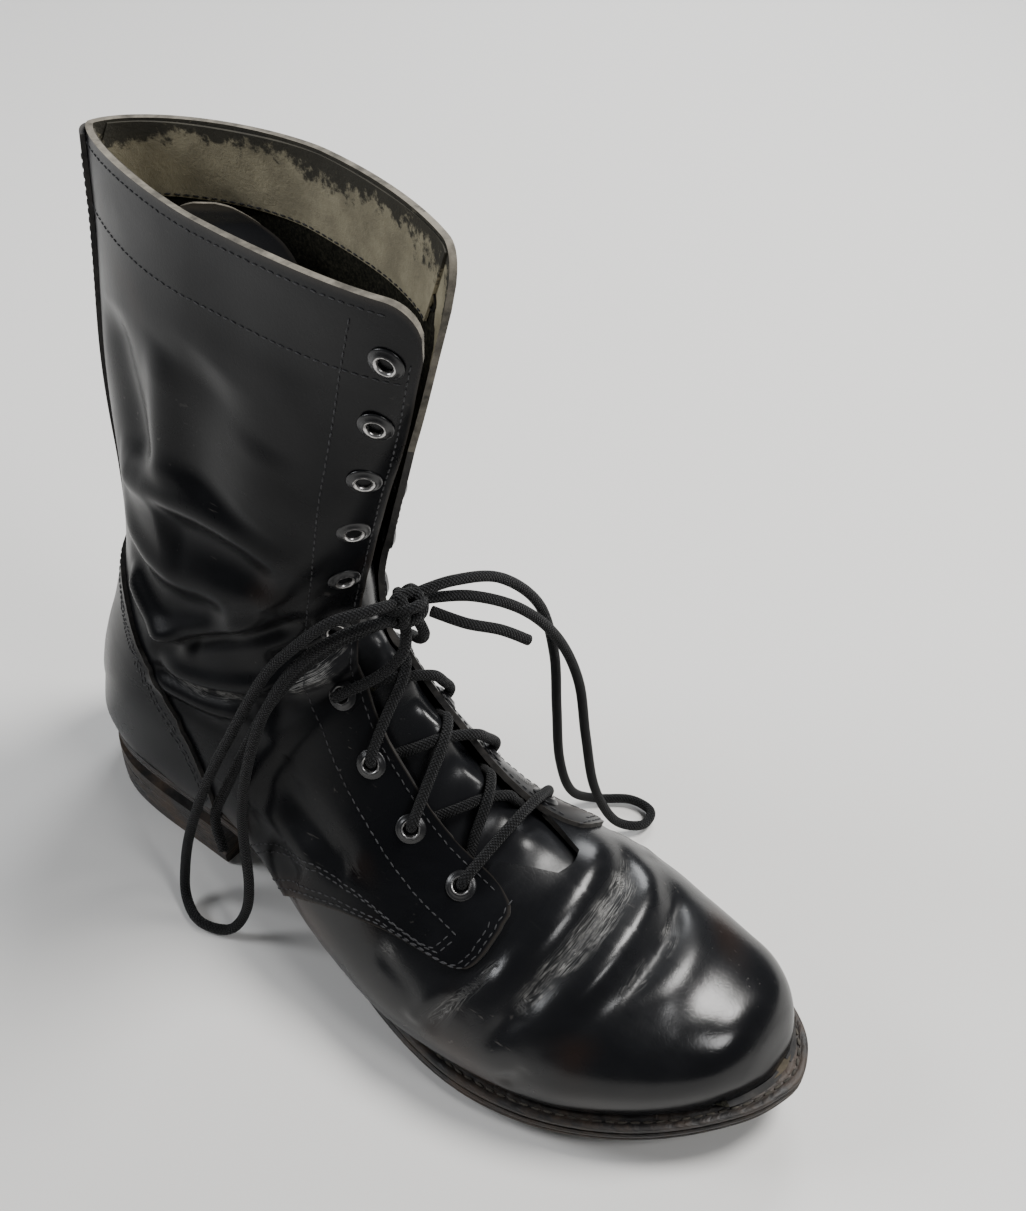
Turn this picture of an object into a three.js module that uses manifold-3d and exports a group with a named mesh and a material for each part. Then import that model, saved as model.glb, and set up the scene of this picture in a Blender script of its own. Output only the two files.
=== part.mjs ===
// Combat boot for the right foot: a leather upper with lapped quarters and a shaft of ten eyelets a side, on a
// welted rubber sole. Millimetres. +X runs to the toe, +Y to the medial side, +Z up. The origin is on the floor
// under the middle of the heel.
import * as THREE from "three";
import { mergeVertices } from "three/addons/utils/BufferGeometryUtils.js";
import Module from "manifold-3d";

const wasm = await Module();
wasm.setup();

// Driving dimensions
const LENGTH = 305; // sole, heel to toe
const BALL_WIDTH = 108; // sole, over the joint of the big toe
const HEEL_LENGTH = 80; // heel block, back to breast
const HEEL_HEIGHT = 19; // heel block under the outsole
const OUTSOLE = 5.5; // sheet thicknesses
const MIDSOLE = 4;
const WELT = 3;
const INSOLE = 3.5;
const WELT_WIDTH = 10;
const TOE_SPRING = 14; // rise of the outsole's tip
const INSTEP = 118; // heel seat to the bend of the ankle in front
const SHAFT_HEIGHT = 265; // floor to collar, at the back seam
const COLLAR_SLOPE = 0.09; // the collar's rise towards the front
const LEATHER = 2.2; // wall of the upper
const LAP = 1.6; // step from the quarters down to the vamp
const OVERLAY = 1.4; // counter and backstay
const TONGUE = 1.8;
const SEAM = 12; // how far the quarters lap over the vamp
const FLAP_CORNER = 14; // radius of the facings' top corners
const EYELETS = 10; // on each facing
const EYELET_IN = 9.5; // from the facing's edge to its eyelets
const EYELET_BORE = 4.8;
const EYELET_FLANGE = 10.4;
const LACE = 3.8; // diameter of the round braid
const GAP = 0.3; // clearance between pieces that touch

const HEEL_BACK = -HEEL_LENGTH / 2;
const MIDSOLE_AT = OUTSOLE + GAP; // above the outsole's underside
const SEAT_AT = MIDSOLE_AT + MIDSOLE + GAP;
const SEAT = HEEL_HEIGHT + SEAT_AT; // heel seat above the floor
const RISE = SHAFT_HEIGHT - SEAT - INSTEP; // shaft above the ankle

const along = (share) => HEEL_BACK + share * LENGTH;
const across = (share) => share * BALL_WIDTH;
const level = (h) => Math.min(h, 1) * INSTEP + Math.max(h - 1, 0) * RISE;

// A table: rows of numbers under the names of its columns.
function rowsOf(names, rows) {
  const columns = names.split(" ");
  return rows.map((row) => Object.fromEntries(columns.map((name, i) => [name, row[i]])));
}

// The sole's outline in plan, from the heel to the toe: shares of the length and of the ball width.
const SOLE_OUTLINE = rowsOf("at lateral medial", [
  [0, -0.02, -0.02],
  [0.004, -0.095, 0.06],
  [0.018, -0.185, 0.145],
  [0.045, -0.265, 0.228],
  [0.085, -0.32, 0.283],
  [0.14, -0.343, 0.306],
  [0.22, -0.347, 0.3],
  [0.264, -0.35, 0.29],
  [0.3, -0.352, 0.283],
  [0.38, -0.378, 0.279],
  [0.46, -0.425, 0.303],
  [0.54, -0.487, 0.345],
  [0.62, -0.54, 0.4],
  [0.69, -0.556, 0.438],
  [0.76, -0.528, 0.444],
  [0.82, -0.472, 0.43],
  [0.875, -0.392, 0.395],
  [0.92, -0.298, 0.345],
  [0.955, -0.198, 0.28],
  [0.98, -0.105, 0.21],
  [0.994, -0.01, 0.135],
  [1, 0.06, 0.06],
]);

// Height of the outsole's underside: shares of the length, with the heel height and the toe spring as units.
const SOLE_RISE = rowsOf("at heel toe", [
  [0, 1, 0],
  [0.264, 1, 0],
  [0.344, 0.8, 0],
  [0.4, 0.56, 0],
  [0.47, 0.24, 0],
  [0.53, 0.06, 0],
  [0.58, 0, 0],
  [0.73, 0, 0],
  [0.8, 0, 0.12],
  [0.88, 0, 0.42],
  [0.95, 0, 0.77],
  [1, 0, 1],
]);

function lookUp(table, column, at) {
  const last = table.length - 1;
  if (at <= table[0].at) return table[0][column];
  if (at >= table[last].at) return table[last][column];
  const i = table.findIndex((row) => row.at > at);
  const a = table[i - 1];
  const b = table[i];
  return a[column] + ((b[column] - a[column]) * (at - a.at)) / (b.at - a.at);
}

// Underside of the outsole at x.
function underside(x) {
  const at = (x - HEEL_BACK) / LENGTH;
  return lookUp(SOLE_RISE, "heel", at) * HEEL_HEIGHT + lookUp(SOLE_RISE, "toe", at) * TOE_SPRING;
}

// The plane that the upper stands on: the welt's top in front, the midsole's at the heel.
const WELT_STARTS = 0.2; // share of the length
const WELT_FULL = 0.262;
function footing(x) {
  const at = (x - HEEL_BACK) / LENGTH;
  const welt = THREE.MathUtils.clamp((at - WELT_STARTS) / (WELT_FULL - WELT_STARTS), 0, 1) * (WELT + GAP);
  return underside(x) + SEAT_AT + welt;
}

// The last's sections, from the toe to the collar. Each lies in a plane across the boot, from its low end at the sole
// or the back seam to its high end on the ridge of vamp, instep and shin.
// back, front: x of the low and high end, shares of the length. low, high: their heights, 0 to 1 up the instep and
// 1 to 2 up the shaft. lateral, medial: half widths, shares of the ball width, about a centre that goes from heel to
// ridge (also shares of it). wide: where along the section it is widest. base: width at the low end as a share of the
// widest. round, tail: how full it is above and below its widest line, 2 for an ellipse. slitLateral, slitMedial: from
// the ridge to the edges of the throat, along the leather, shares of the ball width.
const SECTIONS = rowsOf(
  "back front low high lateral medial heel ridge wide base round tail slitLateral slitMedial",
  [
    [0.978, 0.978, 0, 0.006, 0.02, 0.02, 0.065, 0.065, 0.35, 0.93, 2.2, 2.2, 0, 0],
    [0.976, 0.976, 0, 0.05, 0.07, 0.065, 0.065, 0.065, 0.35, 0.93, 2.2, 2.2, 0, 0],
    [0.969, 0.969, 0, 0.1, 0.125, 0.12, 0.06, 0.06, 0.35, 0.93, 2.2, 2.2, 0, 0],
    [0.956, 0.956, 0, 0.165, 0.19, 0.185, 0.05, 0.052, 0.35, 0.93, 2.2, 2.2, 0, 0],
    [0.935, 0.934, 0, 0.233, 0.264, 0.25, 0.04, 0.045, 0.34, 0.93, 2.2, 2.2, 0, 0],
    [0.902, 0.902, 0, 0.28, 0.343, 0.315, 0.028, 0.038, 0.32, 0.92, 2.2, 2.2, 0, 0],
    [0.859, 0.859, 0, 0.328, 0.426, 0.35, 0.023, 0.032, 0.3, 0.91, 2.15, 2.2, 0, 0],
    [0.807, 0.808, 0, 0.385, 0.5, 0.385, 0.018, 0.025, 0.27, 0.9, 2.1, 2.2, 0, 0],
    [0.754, 0.76, 0, 0.45, 0.546, 0.41, 0.014, 0.018, 0.24, 0.89, 2, 2.2, 0, 0],
    [0.698, 0.713, 0, 0.5, 0.57, 0.42, 0.009, 0.008, 0.22, 0.88, 1.9, 2.2, 0.03, 0.03],
    [0.643, 0.666, 0, 0.53, 0.574, 0.426, 0, -0.002, 0.2, 0.86, 1.75, 2.2, 0.191, 0.12],
    [0.577, 0.618, 0, 0.568, 0.565, 0.408, -0.01, -0.012, 0.19, 0.83, 1.6, 2.2, 0.196, 0.125],
    [0.505, 0.571, 0, 0.625, 0.528, 0.389, -0.018, -0.02, 0.18, 0.8, 1.5, 2.2, 0.196, 0.125],
    [0.426, 0.526, 0, 0.685, 0.477, 0.361, -0.023, -0.025, 0.17, 0.8, 1.5, 2.2, 0.191, 0.125],
    [0.344, 0.483, 0, 0.735, 0.407, 0.338, -0.023, -0.028, 0.18, 0.82, 1.5, 2.2, 0.176, 0.12],
    [0.262, 0.449, 0, 0.787, 0.352, 0.324, -0.023, -0.03, 0.22, 0.88, 1.6, 2.2, 0.136, 0.12],
    [0.17, 0.426, 0, 0.845, 0.324, 0.315, -0.02, -0.03, 0.28, 0.93, 1.7, 2.2, 0.101, 0.13],
    [0.085, 0.413, 0, 0.92, 0.315, 0.315, -0.02, -0.03, 0.34, 0.86, 1.9, 2.2, 0.061, 0.13],
    [0.02, 0.409, 0.003, 1, 0.31, 0.315, -0.02, -0.03, 0.38, 0.5, 2, 2.2, 0.041, 0.125],
    [-0.01, 0.412, 0.085, 1.05, 0.305, 0.31, -0.018, -0.032, 0.4, 0, 2, 2.1, 0.036, 0.12],
    [-0.01, 0.417, 0.2, 1.11, 0.297, 0.308, -0.015, -0.036, 0.4, 0, 2, 2, 0.036, 0.12],
    [0, 0.424, 0.33, 1.17, 0.292, 0.304, -0.01, -0.041, 0.41, 0, 2, 1.9, 0.036, 0.12],
    [0.014, 0.43, 0.46, 1.23, 0.286, 0.301, -0.005, -0.047, 0.42, 0, 2, 1.8, 0.036, 0.12],
    [0.027, 0.437, 0.627, 1.3, 0.281, 0.297, 0, -0.054, 0.43, 0, 2, 1.7, 0.036, 0.125],
    [0.03, 0.445, 0.78, 1.365, 0.27, 0.295, 0, -0.063, 0.43, 0, 2, 1.6, 0.036, 0.13],
    [0.026, 0.454, 0.94, 1.44, 0.258, 0.297, 0.004, -0.074, 0.44, 0, 2, 1.6, 0.036, 0.14],
    [0.022, 0.464, 1.11, 1.517, 0.248, 0.298, 0.008, -0.085, 0.44, 0, 2, 1.6, 0.036, 0.155],
    [0.02, 0.476, 1.29, 1.6, 0.236, 0.301, 0.012, -0.099, 0.45, 0, 2, 1.6, 0.036, 0.17],
    [0.02, 0.489, 1.475, 1.695, 0.218, 0.314, 0.014, -0.118, 0.45, 0, 2, 1.6, 0.036, 0.19],
    [0.022, 0.503, 1.653, 1.797, 0.197, 0.325, 0.016, -0.141, 0.45, 0, 2, 1.6, 0.038, 0.21],
    [0.025, 0.516, 1.822, 1.9, 0.177, 0.337, 0.018, -0.162, 0.45, 0, 2, 1.6, 0.041, 0.225],
    [0.027, 0.55, 2.08, 2.2, 0.148, 0.362, 0.02, -0.215, 0.45, 0, 2, 1.6, 0.041, 0.25],
  ],
);

// A section with its two ends in place.
function sectionAt(row) {
  const low = new THREE.Vector3(along(row.back), across(row.heel), 0);
  const high = new THREE.Vector3(along(row.front), across(row.ridge), 0);
  const ground = footing(low.x);
  low.z = ground + level(row.low);
  high.z = ground + level(row.high);
  return { ...row, low, high, up: high.clone().sub(low).normalize() };
}

const QUARTER_TURN = Math.PI / 2;

// A point of a section: side -1 lateral or 1 medial, angle -90 degrees at the low end, 0 at the widest, 90 at the top.
function sectionPoint(section, side, angle) {
  const width = across(side < 0 ? section.lateral : section.medial);
  const c = Math.max(Math.cos(angle), 0);
  const s = Math.abs(Math.sin(angle));
  const above = angle >= 0;
  const fullness = 2 / (above ? section.round : section.tail);
  const base = above ? 0 : section.base;
  const t = above ? section.wide + (1 - section.wide) * s ** fullness : section.wide * (1 - s ** fullness);
  const p = section.low.clone().lerp(section.high, t);
  p.y += side * width * (base + (1 - base) * c ** fullness);
  return p;
}

const ANGLES_UP = 8; // points of a half section above its widest line
const ANGLES_DOWN = 4;

// The closed ring of a section: lateral low end, over the ridge, to the medial low end.
function ringOf(section) {
  const angles = [];
  for (let i = 0; i < ANGLES_DOWN; i++) angles.push(-QUARTER_TURN * (1 - i / ANGLES_DOWN));
  for (let i = 0; i < ANGLES_UP; i++) angles.push((QUARTER_TURN * i) / ANGLES_UP);
  const lateral = angles.map((a) => sectionPoint(section, -1, a));
  const medial = angles.map((a) => sectionPoint(section, 1, a)).reverse();
  return [...lateral, section.high.clone(), ...medial];
}

const MERGE = 1e-3; // corners nearer than this are one

// A closed solid from positions and triangles, whichever way round they run.
function solidOfMesh(positions, index) {
  const raw = new THREE.BufferGeometry();
  raw.setAttribute("position", new THREE.Float32BufferAttribute(positions, 3));
  raw.setIndex(index);
  const merged = mergeVertices(raw, MERGE);
  const corners = Array.from(merged.index.array);
  const kept = [];
  for (let i = 0; i < corners.length; i += 3) {
    const [a, b, c] = corners.slice(i, i + 3);
    if (a !== b && b !== c && c !== a) kept.push([a, b, c]);
  }
  const make = (triangles) =>
    new wasm.Manifold(
      new wasm.Mesh({
        numProp: 3,
        vertProperties: merged.attributes.position.array,
        triVerts: new Uint32Array(triangles.flat()),
      }),
    );
  const solid = make(kept);
  return solid.volume() < 0 ? make(kept.map(([a, b, c]) => [a, c, b])) : solid;
}

function solidOfGeometry(geometry) {
  const position = geometry.getAttribute("position");
  const inOrder = () => Array.from({ length: position.count }, (_, i) => i);
  const index = geometry.index ? Array.from(geometry.index.array) : inOrder();
  return solidOfMesh(Array.from(position.array), index);
}

// A closed solid from rings of equal length. Each end is capped by a strip between corner j and corner partner(j).
function solidOfRings(rings, partner = (j, n) => n - 1 - j) {
  const n = rings[0].length;
  const positions = rings.flat().flatMap((p) => [p.x, p.y, p.z]);
  const index = [];
  for (let i = 0; i + 1 < rings.length; i++) {
    for (let j = 0; j < n; j++) {
      const a = i * n + j;
      const b = i * n + ((j + 1) % n);
      index.push(a, b, b + n, a, b + n, a + n);
    }
  }
  const last = (rings.length - 1) * n;
  for (let j = 0; j < Math.floor(n / 2); j++) {
    const near = [j, j + 1, partner(j + 1, n), partner(j, n)];
    const far = near.map((corner) => last + corner);
    index.push(near[0], near[2], near[1], near[0], near[3], near[2]);
    index.push(far[0], far[1], far[2], far[0], far[2], far[3]);
  }
  return solidOfMesh(positions, index);
}

const outlinePartner = (j, n) => (n - j) % n; // across an outline that starts at the heel

// Outward normals of a grid of rings.
function normalsOf(rings) {
  return rings.map((ring, i) =>
    ring.map((p, j) => {
      const before = rings[Math.max(i - 1, 0)][j];
      const after = rings[Math.min(i + 1, rings.length - 1)][j];
      const left = ring[Math.max(j - 1, 0)];
      const right = ring[Math.min(j + 1, ring.length - 1)];
      return right.clone().sub(left).cross(after.clone().sub(before)).normalize();
    }),
  );
}

const sections = SECTIONS.map(sectionAt);
const lastRings = sections.map(ringOf);
const lastNormals = normalsOf(lastRings);

// The last's form, grown by a distance, or shrunk by a negative one, its open underside carried down by a depth.
function lastForm(distance, depth = 0) {
  const rings = lastRings.map((ring, i) => {
    const normals = lastNormals[i];
    const seam = normals[0].clone().add(normals[ring.length - 1]).normalize();
    return ring.map((p, j) => {
      const atEnd = j === 0 || j === ring.length - 1;
      const onSeam = atEnd && sections[i].base === 0;
      const moved = p.clone().addScaledVector(onSeam ? seam : normals[j], distance);
      if (atEnd && !onSeam) moved.z = p.z - depth;
      return moved;
    });
  });
  return solidOfRings(rings);
}

const FAR = 400; // past every piece
const EVERYWHERE = [-FAR, FAR];

// A side view outline of [x, z] corners, carried across the boot between two y.
function sideCut(outline, [from, to]) {
  const shape = new THREE.Shape(outline.map(([x, z]) => new THREE.Vector2(x, z)));
  const slab = new THREE.ExtrudeGeometry(shape, { depth: to - from, bevelEnabled: false });
  slab.rotateX(QUARTER_TURN);
  slab.translate(0, to, 0);
  return solidOfGeometry(slab);
}

// Walks down a section from its ridge, along the leather, on one side. Gives the point and the outward normal there.
const WALK = 48; // steps of the walk
function onLeather(section, side, distance) {
  let here = sectionPoint(section, side, QUARTER_TURN);
  let left = distance;
  for (let i = 1; i <= 2 * WALK; i++) {
    const next = sectionPoint(section, side, QUARTER_TURN * (1 - i / WALK));
    const step = next.distanceTo(here);
    if (step >= left && step > 0) {
      const point = here.clone().lerp(next, left / step);
      const tangent = next.clone().sub(here).normalize();
      const forward = new THREE.Vector3(0, 1, 0).cross(section.up);
      return { point, tangent, normal: forward.cross(tangent).multiplyScalar(side).normalize() };
    }
    left -= step;
    here = next;
  }
  return { point: here, tangent: section.up.clone().negate(), normal: new THREE.Vector3(0, side, 0) };
}

// The same at a place between two sections, v counted in rows of the table.
function between(v, side, distanceOf) {
  const i = Math.min(Math.floor(v), sections.length - 2);
  const a = onLeather(sections[i], side, distanceOf(sections[i]));
  const b = onLeather(sections[i + 1], side, distanceOf(sections[i + 1]));
  const onward = b.point.clone().sub(a.point);
  const tangent = a.tangent.lerp(b.tangent, v - i);
  return { point: a.point.lerp(b.point, v - i), normal: tangent.cross(onward).multiplyScalar(side).normalize() };
}

const slitOf = (side) => (section) => across(side < 0 ? section.slitLateral : section.slitMedial);

// The sole

// The sole's outline moved outwards by a distance, each corner at a height: heel, lateral side, toe, medial side.
function soleLoop(offsetAt, heightAt) {
  const side = (column) => SOLE_OUTLINE.map((row) => new THREE.Vector2(along(row.at), across(row[column])));
  const loop = [...side("lateral"), ...side("medial").slice(1, -1).reverse()];
  return loop.map((p, i) => {
    const before = loop[(i + loop.length - 1) % loop.length];
    const after = loop[(i + 1) % loop.length];
    const t = after.clone().sub(before).normalize();
    const offset = offsetAt(p.x);
    const x = p.x + t.y * offset;
    return new THREE.Vector3(x, p.y - t.x * offset, heightAt(x));
  });
}

// A layer of the sole: its side is a table of heights, as shares of its thickness, and of how far it stands out.
function soleLayer(base, thickness, edge) {
  return solidOfRings(
    edge.map(({ up, out }) => soleLoop(() => out, (x) => base(x) + up * thickness)),
    outlinePartner,
  );
}

const OUTSOLE_EDGE = rowsOf("up out", [
  [0, -2.6],
  [0.3, -0.8],
  [0.75, 0],
  [1, -0.2],
]);
const MIDSOLE_EDGE = rowsOf("up out", [
  [0, -0.7],
  [0.3, 0],
  [1, -0.3],
]);
const HEEL_EDGE = rowsOf("up out", [
  [0, -1.2],
  [0.32, -0.4],
  [0.36, -1],
  [0.4, -0.3],
  [1, 0],
]);

const LUG_DEPTH = 2.2;
const LUG_GROOVE = 3.2;
const LUG_SLANT = Math.PI / 8;
const HEEL_GROOVES = [-0.62, 0.3]; // shares of half the heel
const FORE_GROOVES = [0.565, 0.605, 0.645, 0.685, 0.725, 0.765, 0.805, 0.845]; // shares of the length
const TREAD_EDGE = 0.82; // how far across the sole the grooves reach

// Grooves in chevrons under the tread.
function chevron(x, ground) {
  const at = (x - HEEL_BACK) / LENGTH;
  const arms = ["lateral", "medial"].map((column) => {
    const reach = across(lookUp(SOLE_OUTLINE, column, at)) * TREAD_EDGE;
    const arm = new THREE.BoxGeometry(LUG_GROOVE, Math.abs(reach) / Math.cos(LUG_SLANT), 2 * LUG_DEPTH);
    arm.translate(0, reach / 2 / Math.cos(LUG_SLANT), 0);
    arm.rotateZ(Math.sign(reach) * LUG_SLANT);
    arm.translate(x, 0, ground);
    return solidOfGeometry(arm);
  });
  return arms[0].add(arms[1]);
}

function makeOutsole() {
  let sole = soleLayer(underside, OUTSOLE, OUTSOLE_EDGE);
  for (const at of FORE_GROOVES) sole = sole.subtract(chevron(along(at), underside(along(at))));
  return sole;
}

function makeHeel() {
  let heel = soleLayer(() => 0, HEEL_HEIGHT - GAP, HEEL_EDGE);
  const breast = HEEL_BACK + HEEL_LENGTH;
  heel = heel.intersect(sideCut([[-FAR, -FAR], [breast, -FAR], [breast, FAR], [-FAR, FAR]], EVERYWHERE));
  for (const share of HEEL_GROOVES) heel = heel.subtract(chevron((share * HEEL_LENGTH) / 2, 0));
  return heel;
}

// The welt runs round the foot from one side of the waist to the other.
const WELT_EDGE = rowsOf("up out", [
  [0, -0.9],
  [0.5, -0.2],
  [1, -0.8],
]);
function makeWelt() {
  const base = (x) => underside(x) + SEAT_AT;
  const outer = WELT_EDGE.map(({ up, out }) => soleLoop(() => out, (x) => base(x) + up * WELT));
  const inner = [1, 0].map((up) => soleLoop(() => -WELT_WIDTH, (x) => base(x) + up * WELT));
  const first = SOLE_OUTLINE.findIndex((row) => row.at > WELT_FULL);
  const count = outer[0].length;
  const rings = [];
  for (let j = first; j <= count - first; j++) rings.push([...outer, ...inner].map((loop) => loop[j]));
  return solidOfRings(rings);
}

const INSOLE_INSET = 12.5; // from the sole's edge to the insole's
function makeInsole() {
  const edge = rowsOf("up out", [[0, -INSOLE_INSET], [1, -INSOLE_INSET]]);
  return soleLayer((x) => underside(x) + SEAT_AT + GAP, INSOLE, edge);
}

// The upper

// Front edge of the quarters from the throat down and back to the waist: shares of the length and of the instep.
const QUARTER_EDGE = rowsOf("at up", [
  [0.66, 0.72],
  [0.668, 0.63],
  [0.672, 0.55],
  [0.667, 0.49],
  [0.652, 0.46],
  [0.607, 0.452],
  [0.551, 0.44],
  [0.482, 0.4],
  [0.42, 0.31],
  [0.37, 0.12],
]);

// All that lies behind the quarters' edge, moved back by a distance.
function behindEdge(back) {
  const edge = QUARTER_EDGE.map((row) => [along(row.at) - back, row.up * INSTEP]);
  const [frontX] = edge[0];
  const [footX] = edge[edge.length - 1];
  return sideCut([[-FAR, FAR], [frontX, FAR], ...edge, [footX, -FAR], [-FAR, -FAR]], EVERYWHERE);
}

// The cuts leave crumbs along the back seam, where the forms come to an edge.
const largest = (solid) => solid.decompose().reduce((a, b) => (a.volume() > b.volume() ? a : b));

const SLIT_IN = LEATHER + LAP + 1.4; // how deep the throat's cutter goes
const SLIT_OUT = 8;

function throatCutter() {
  const first = sections.findIndex((section) => section.slitLateral > 0);
  const rings = sections.slice(first).map((section) => {
    const lateral = onLeather(section, -1, slitOf(-1)(section));
    const medial = onLeather(section, 1, slitOf(1)(section));
    return [
      lateral.point.clone().addScaledVector(lateral.normal, -SLIT_IN),
      lateral.point.clone().addScaledVector(lateral.normal, SLIT_OUT),
      section.high.clone().addScaledVector(section.up, SLIT_OUT),
      section.high.clone().addScaledVector(section.up, SLIT_OUT),
      medial.point.clone().addScaledVector(medial.normal, SLIT_OUT),
      medial.point.clone().addScaledVector(medial.normal, -SLIT_IN),
    ];
  });
  return solidOfRings(rings);
}

// Cuts the collar and rounds the front corner of one facing.
const TOP_ROW = sections.length - 2; // the section nearest the collar
const CORNER_STEPS = 6;
function collarCutter(front, sides) {
  const collarAt = (x) => SHAFT_HEIGHT + COLLAR_SLOPE * (x - sections[TOP_ROW].low.x);
  const top = collarAt(front - FLAP_CORNER);
  const corner = [];
  for (let i = 0; i <= CORNER_STEPS; i++) {
    const turn = (QUARTER_TURN * i) / CORNER_STEPS;
    corner.push([
      front - FLAP_CORNER + FLAP_CORNER * Math.sin(turn),
      top - FLAP_CORNER + FLAP_CORNER * Math.cos(turn),
    ]);
  }
  const below = corner[corner.length - 1][1];
  const above = [[front + FAR, below], [front + FAR, FAR], [-FAR, FAR]];
  return sideCut([[-FAR, collarAt(-FAR)], ...corner, ...above], sides);
}

const partingY = sections[TOP_ROW].high.y;
const FLAP_MARGIN = 1; // the corner's cutter starts this far before the facing's edge
const flapEdge = (side) => onLeather(sections[TOP_ROW], side, slitOf(side)(sections[TOP_ROW])).point.x;
const flapFront = (side) => flapEdge(side) + FLAP_MARGIN;

// Where the eyelets sit: evenly from the lowest row up to just under the collar.
const EYELETS_START = 11.05; // in rows of the table
const EYELETS_END = TOP_ROW + 0.2;
const LINE_STEPS = 200;
function eyeletPlaces(side) {
  const inset = (section) => slitOf(side)(section) + EYELET_IN;
  const line = [];
  for (let i = 0; i <= LINE_STEPS; i++) {
    const v = EYELETS_START + ((EYELETS_END - EYELETS_START) * i) / LINE_STEPS;
    line.push({ ...between(v, side, inset), v });
  }
  const run = [0];
  for (let i = 1; i < line.length; i++) run.push(run[i - 1] + line[i].point.distanceTo(line[i - 1].point));
  const pitch = run[LINE_STEPS] / (EYELETS - 1);
  return Array.from({ length: EYELETS }, (_, k) => {
    const i = run.findIndex((length) => length >= k * pitch - MERGE);
    return line[i];
  });
}
const places = { lateral: eyeletPlaces(-1), medial: eyeletPlaces(1) };

// Turns a geometry made round the Y axis so that its +Y is the outward normal, and puts it in its place.
function seated(geometry, { point, normal }) {
  const turn = new THREE.Quaternion().setFromUnitVectors(new THREE.Vector3(0, 1, 0), normal);
  geometry.applyQuaternion(turn);
  geometry.translate(point.x, point.y, point.z);
  return solidOfGeometry(geometry);
}

const ROUND = 8; // sides of an eyelet and its hole

// A ring turned round the Y axis from its outline: radius and height. Every second row of corners is half a side on.
function turned(outline, sides) {
  const corners = [];
  const facets = [];
  outline.forEach(([radius, height], row) => {
    const next = (row + 1) % outline.length;
    for (let k = 0; k < sides; k++) {
      const angle = (2 * Math.PI * (k + (row % 2) / 2)) / sides;
      corners.push(radius * Math.cos(angle), height, radius * Math.sin(angle));
      const ahead = (k + 1) % sides;
      const [a, b, c, d] = [row * sides + k, next * sides + k, next * sides + ahead, row * sides + ahead];
      if (row % 2) facets.push(a, b, c, a, c, d);
      else facets.push(a, b, d, b, c, d);
    }
  });
  const geometry = new THREE.BufferGeometry();
  geometry.setAttribute("position", new THREE.Float32BufferAttribute(corners, 3));
  geometry.setIndex(facets);
  return geometry;
}

const FLANGE_SEAT = 1; // flange's rim above the leather
const FLANGE_DISH = 0.3; // flange's root above its rim
const FLANGE_RISE = 1.2;
const BARREL_WALL = 0.5;
const BARREL_PAST = 0.4; // barrel inside the leather
const BARREL_LIP = 0.3; // slant of the barrel's end
const FLANGE_CROWN = 0.9; // from the bore out to the flange's highest ring
const EYELET_HOLE = EYELET_BORE + 2 * BARREL_WALL + 2 * GAP;
const HOLE_DEPTH = 4 * LEATHER; // the drill, half of it on each side of the leather's face
function eyeletAt(place) {
  const bore = EYELET_BORE / 2;
  const barrel = bore + BARREL_WALL;
  const inner = -LEATHER - BARREL_PAST;
  const profile = [
    [bore, inner],
    [barrel, inner + BARREL_LIP],
    [barrel, FLANGE_SEAT + FLANGE_DISH],
    [EYELET_FLANGE / 2, FLANGE_SEAT],
    [bore + FLANGE_CROWN, FLANGE_SEAT + FLANGE_RISE],
    [bore, FLANGE_SEAT],
  ];
  return seated(turned(profile, ROUND), place);
}

function makeUpper() {
  const outer = lastForm(-LAP).add(lastForm(0).intersect(behindEdge(0)));
  const hollow = lastForm(-LAP - LEATHER, OUTSOLE).add(lastForm(-LEATHER, OUTSOLE).intersect(behindEdge(SEAM)));
  let wall = outer.subtract(hollow).subtract(throatCutter());
  wall = wall.subtract(collarCutter(flapFront(-1), [-FAR, partingY]));
  wall = wall.subtract(collarCutter(flapFront(1), [partingY, FAR]));
  for (const place of [...places.lateral, ...places.medial]) {
    const hole = new THREE.CylinderGeometry(EYELET_HOLE / 2, EYELET_HOLE / 2, HOLE_DEPTH, ROUND);
    wall = wall.subtract(seated(hole, place));
  }
  return largest(wall);
}

// Outside counter: its top edge from the waist up and back to the heel, shares of the length and of the instep.
const COUNTER_EDGE = rowsOf("at up", [
  [0.266, 0],
  [0.26, 0.34],
  [0.24, 0.43],
  [0.197, 0.6],
  [0.16, 0.73],
  [0.125, 0.83],
  [0.082, 0.9],
  [0.03, 0.925],
  [-0.2, 0.93],
]);

// A layer of leather laid on the upper, inside a side view outline.
function overlay(outline) {
  return lastForm(GAP + OVERLAY).subtract(lastForm(GAP, OUTSOLE)).intersect(outline);
}

function makeCounter() {
  const edge = COUNTER_EDGE.map((row) => [along(row.at), row.up * INSTEP]);
  return overlay(sideCut([[-FAR, 0], ...edge], EVERYWHERE));
}

const BACKSTAY_WIDTH = 13;
const BACKSTAY_FROM = 1.0; // its foot, in instep heights above the floor
function makeBackstay() {
  const reach = along(0.2);
  const foot = INSTEP * BACKSTAY_FROM;
  const middle = across(sections[TOP_ROW].heel);
  const strip = [[-FAR, foot], [reach, foot], [reach, SHAFT_HEIGHT], [-FAR, SHAFT_HEIGHT]];
  return overlay(sideCut(strip, [middle - BACKSTAY_WIDTH / 2, middle + BACKSTAY_WIDTH / 2]));
}

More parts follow.
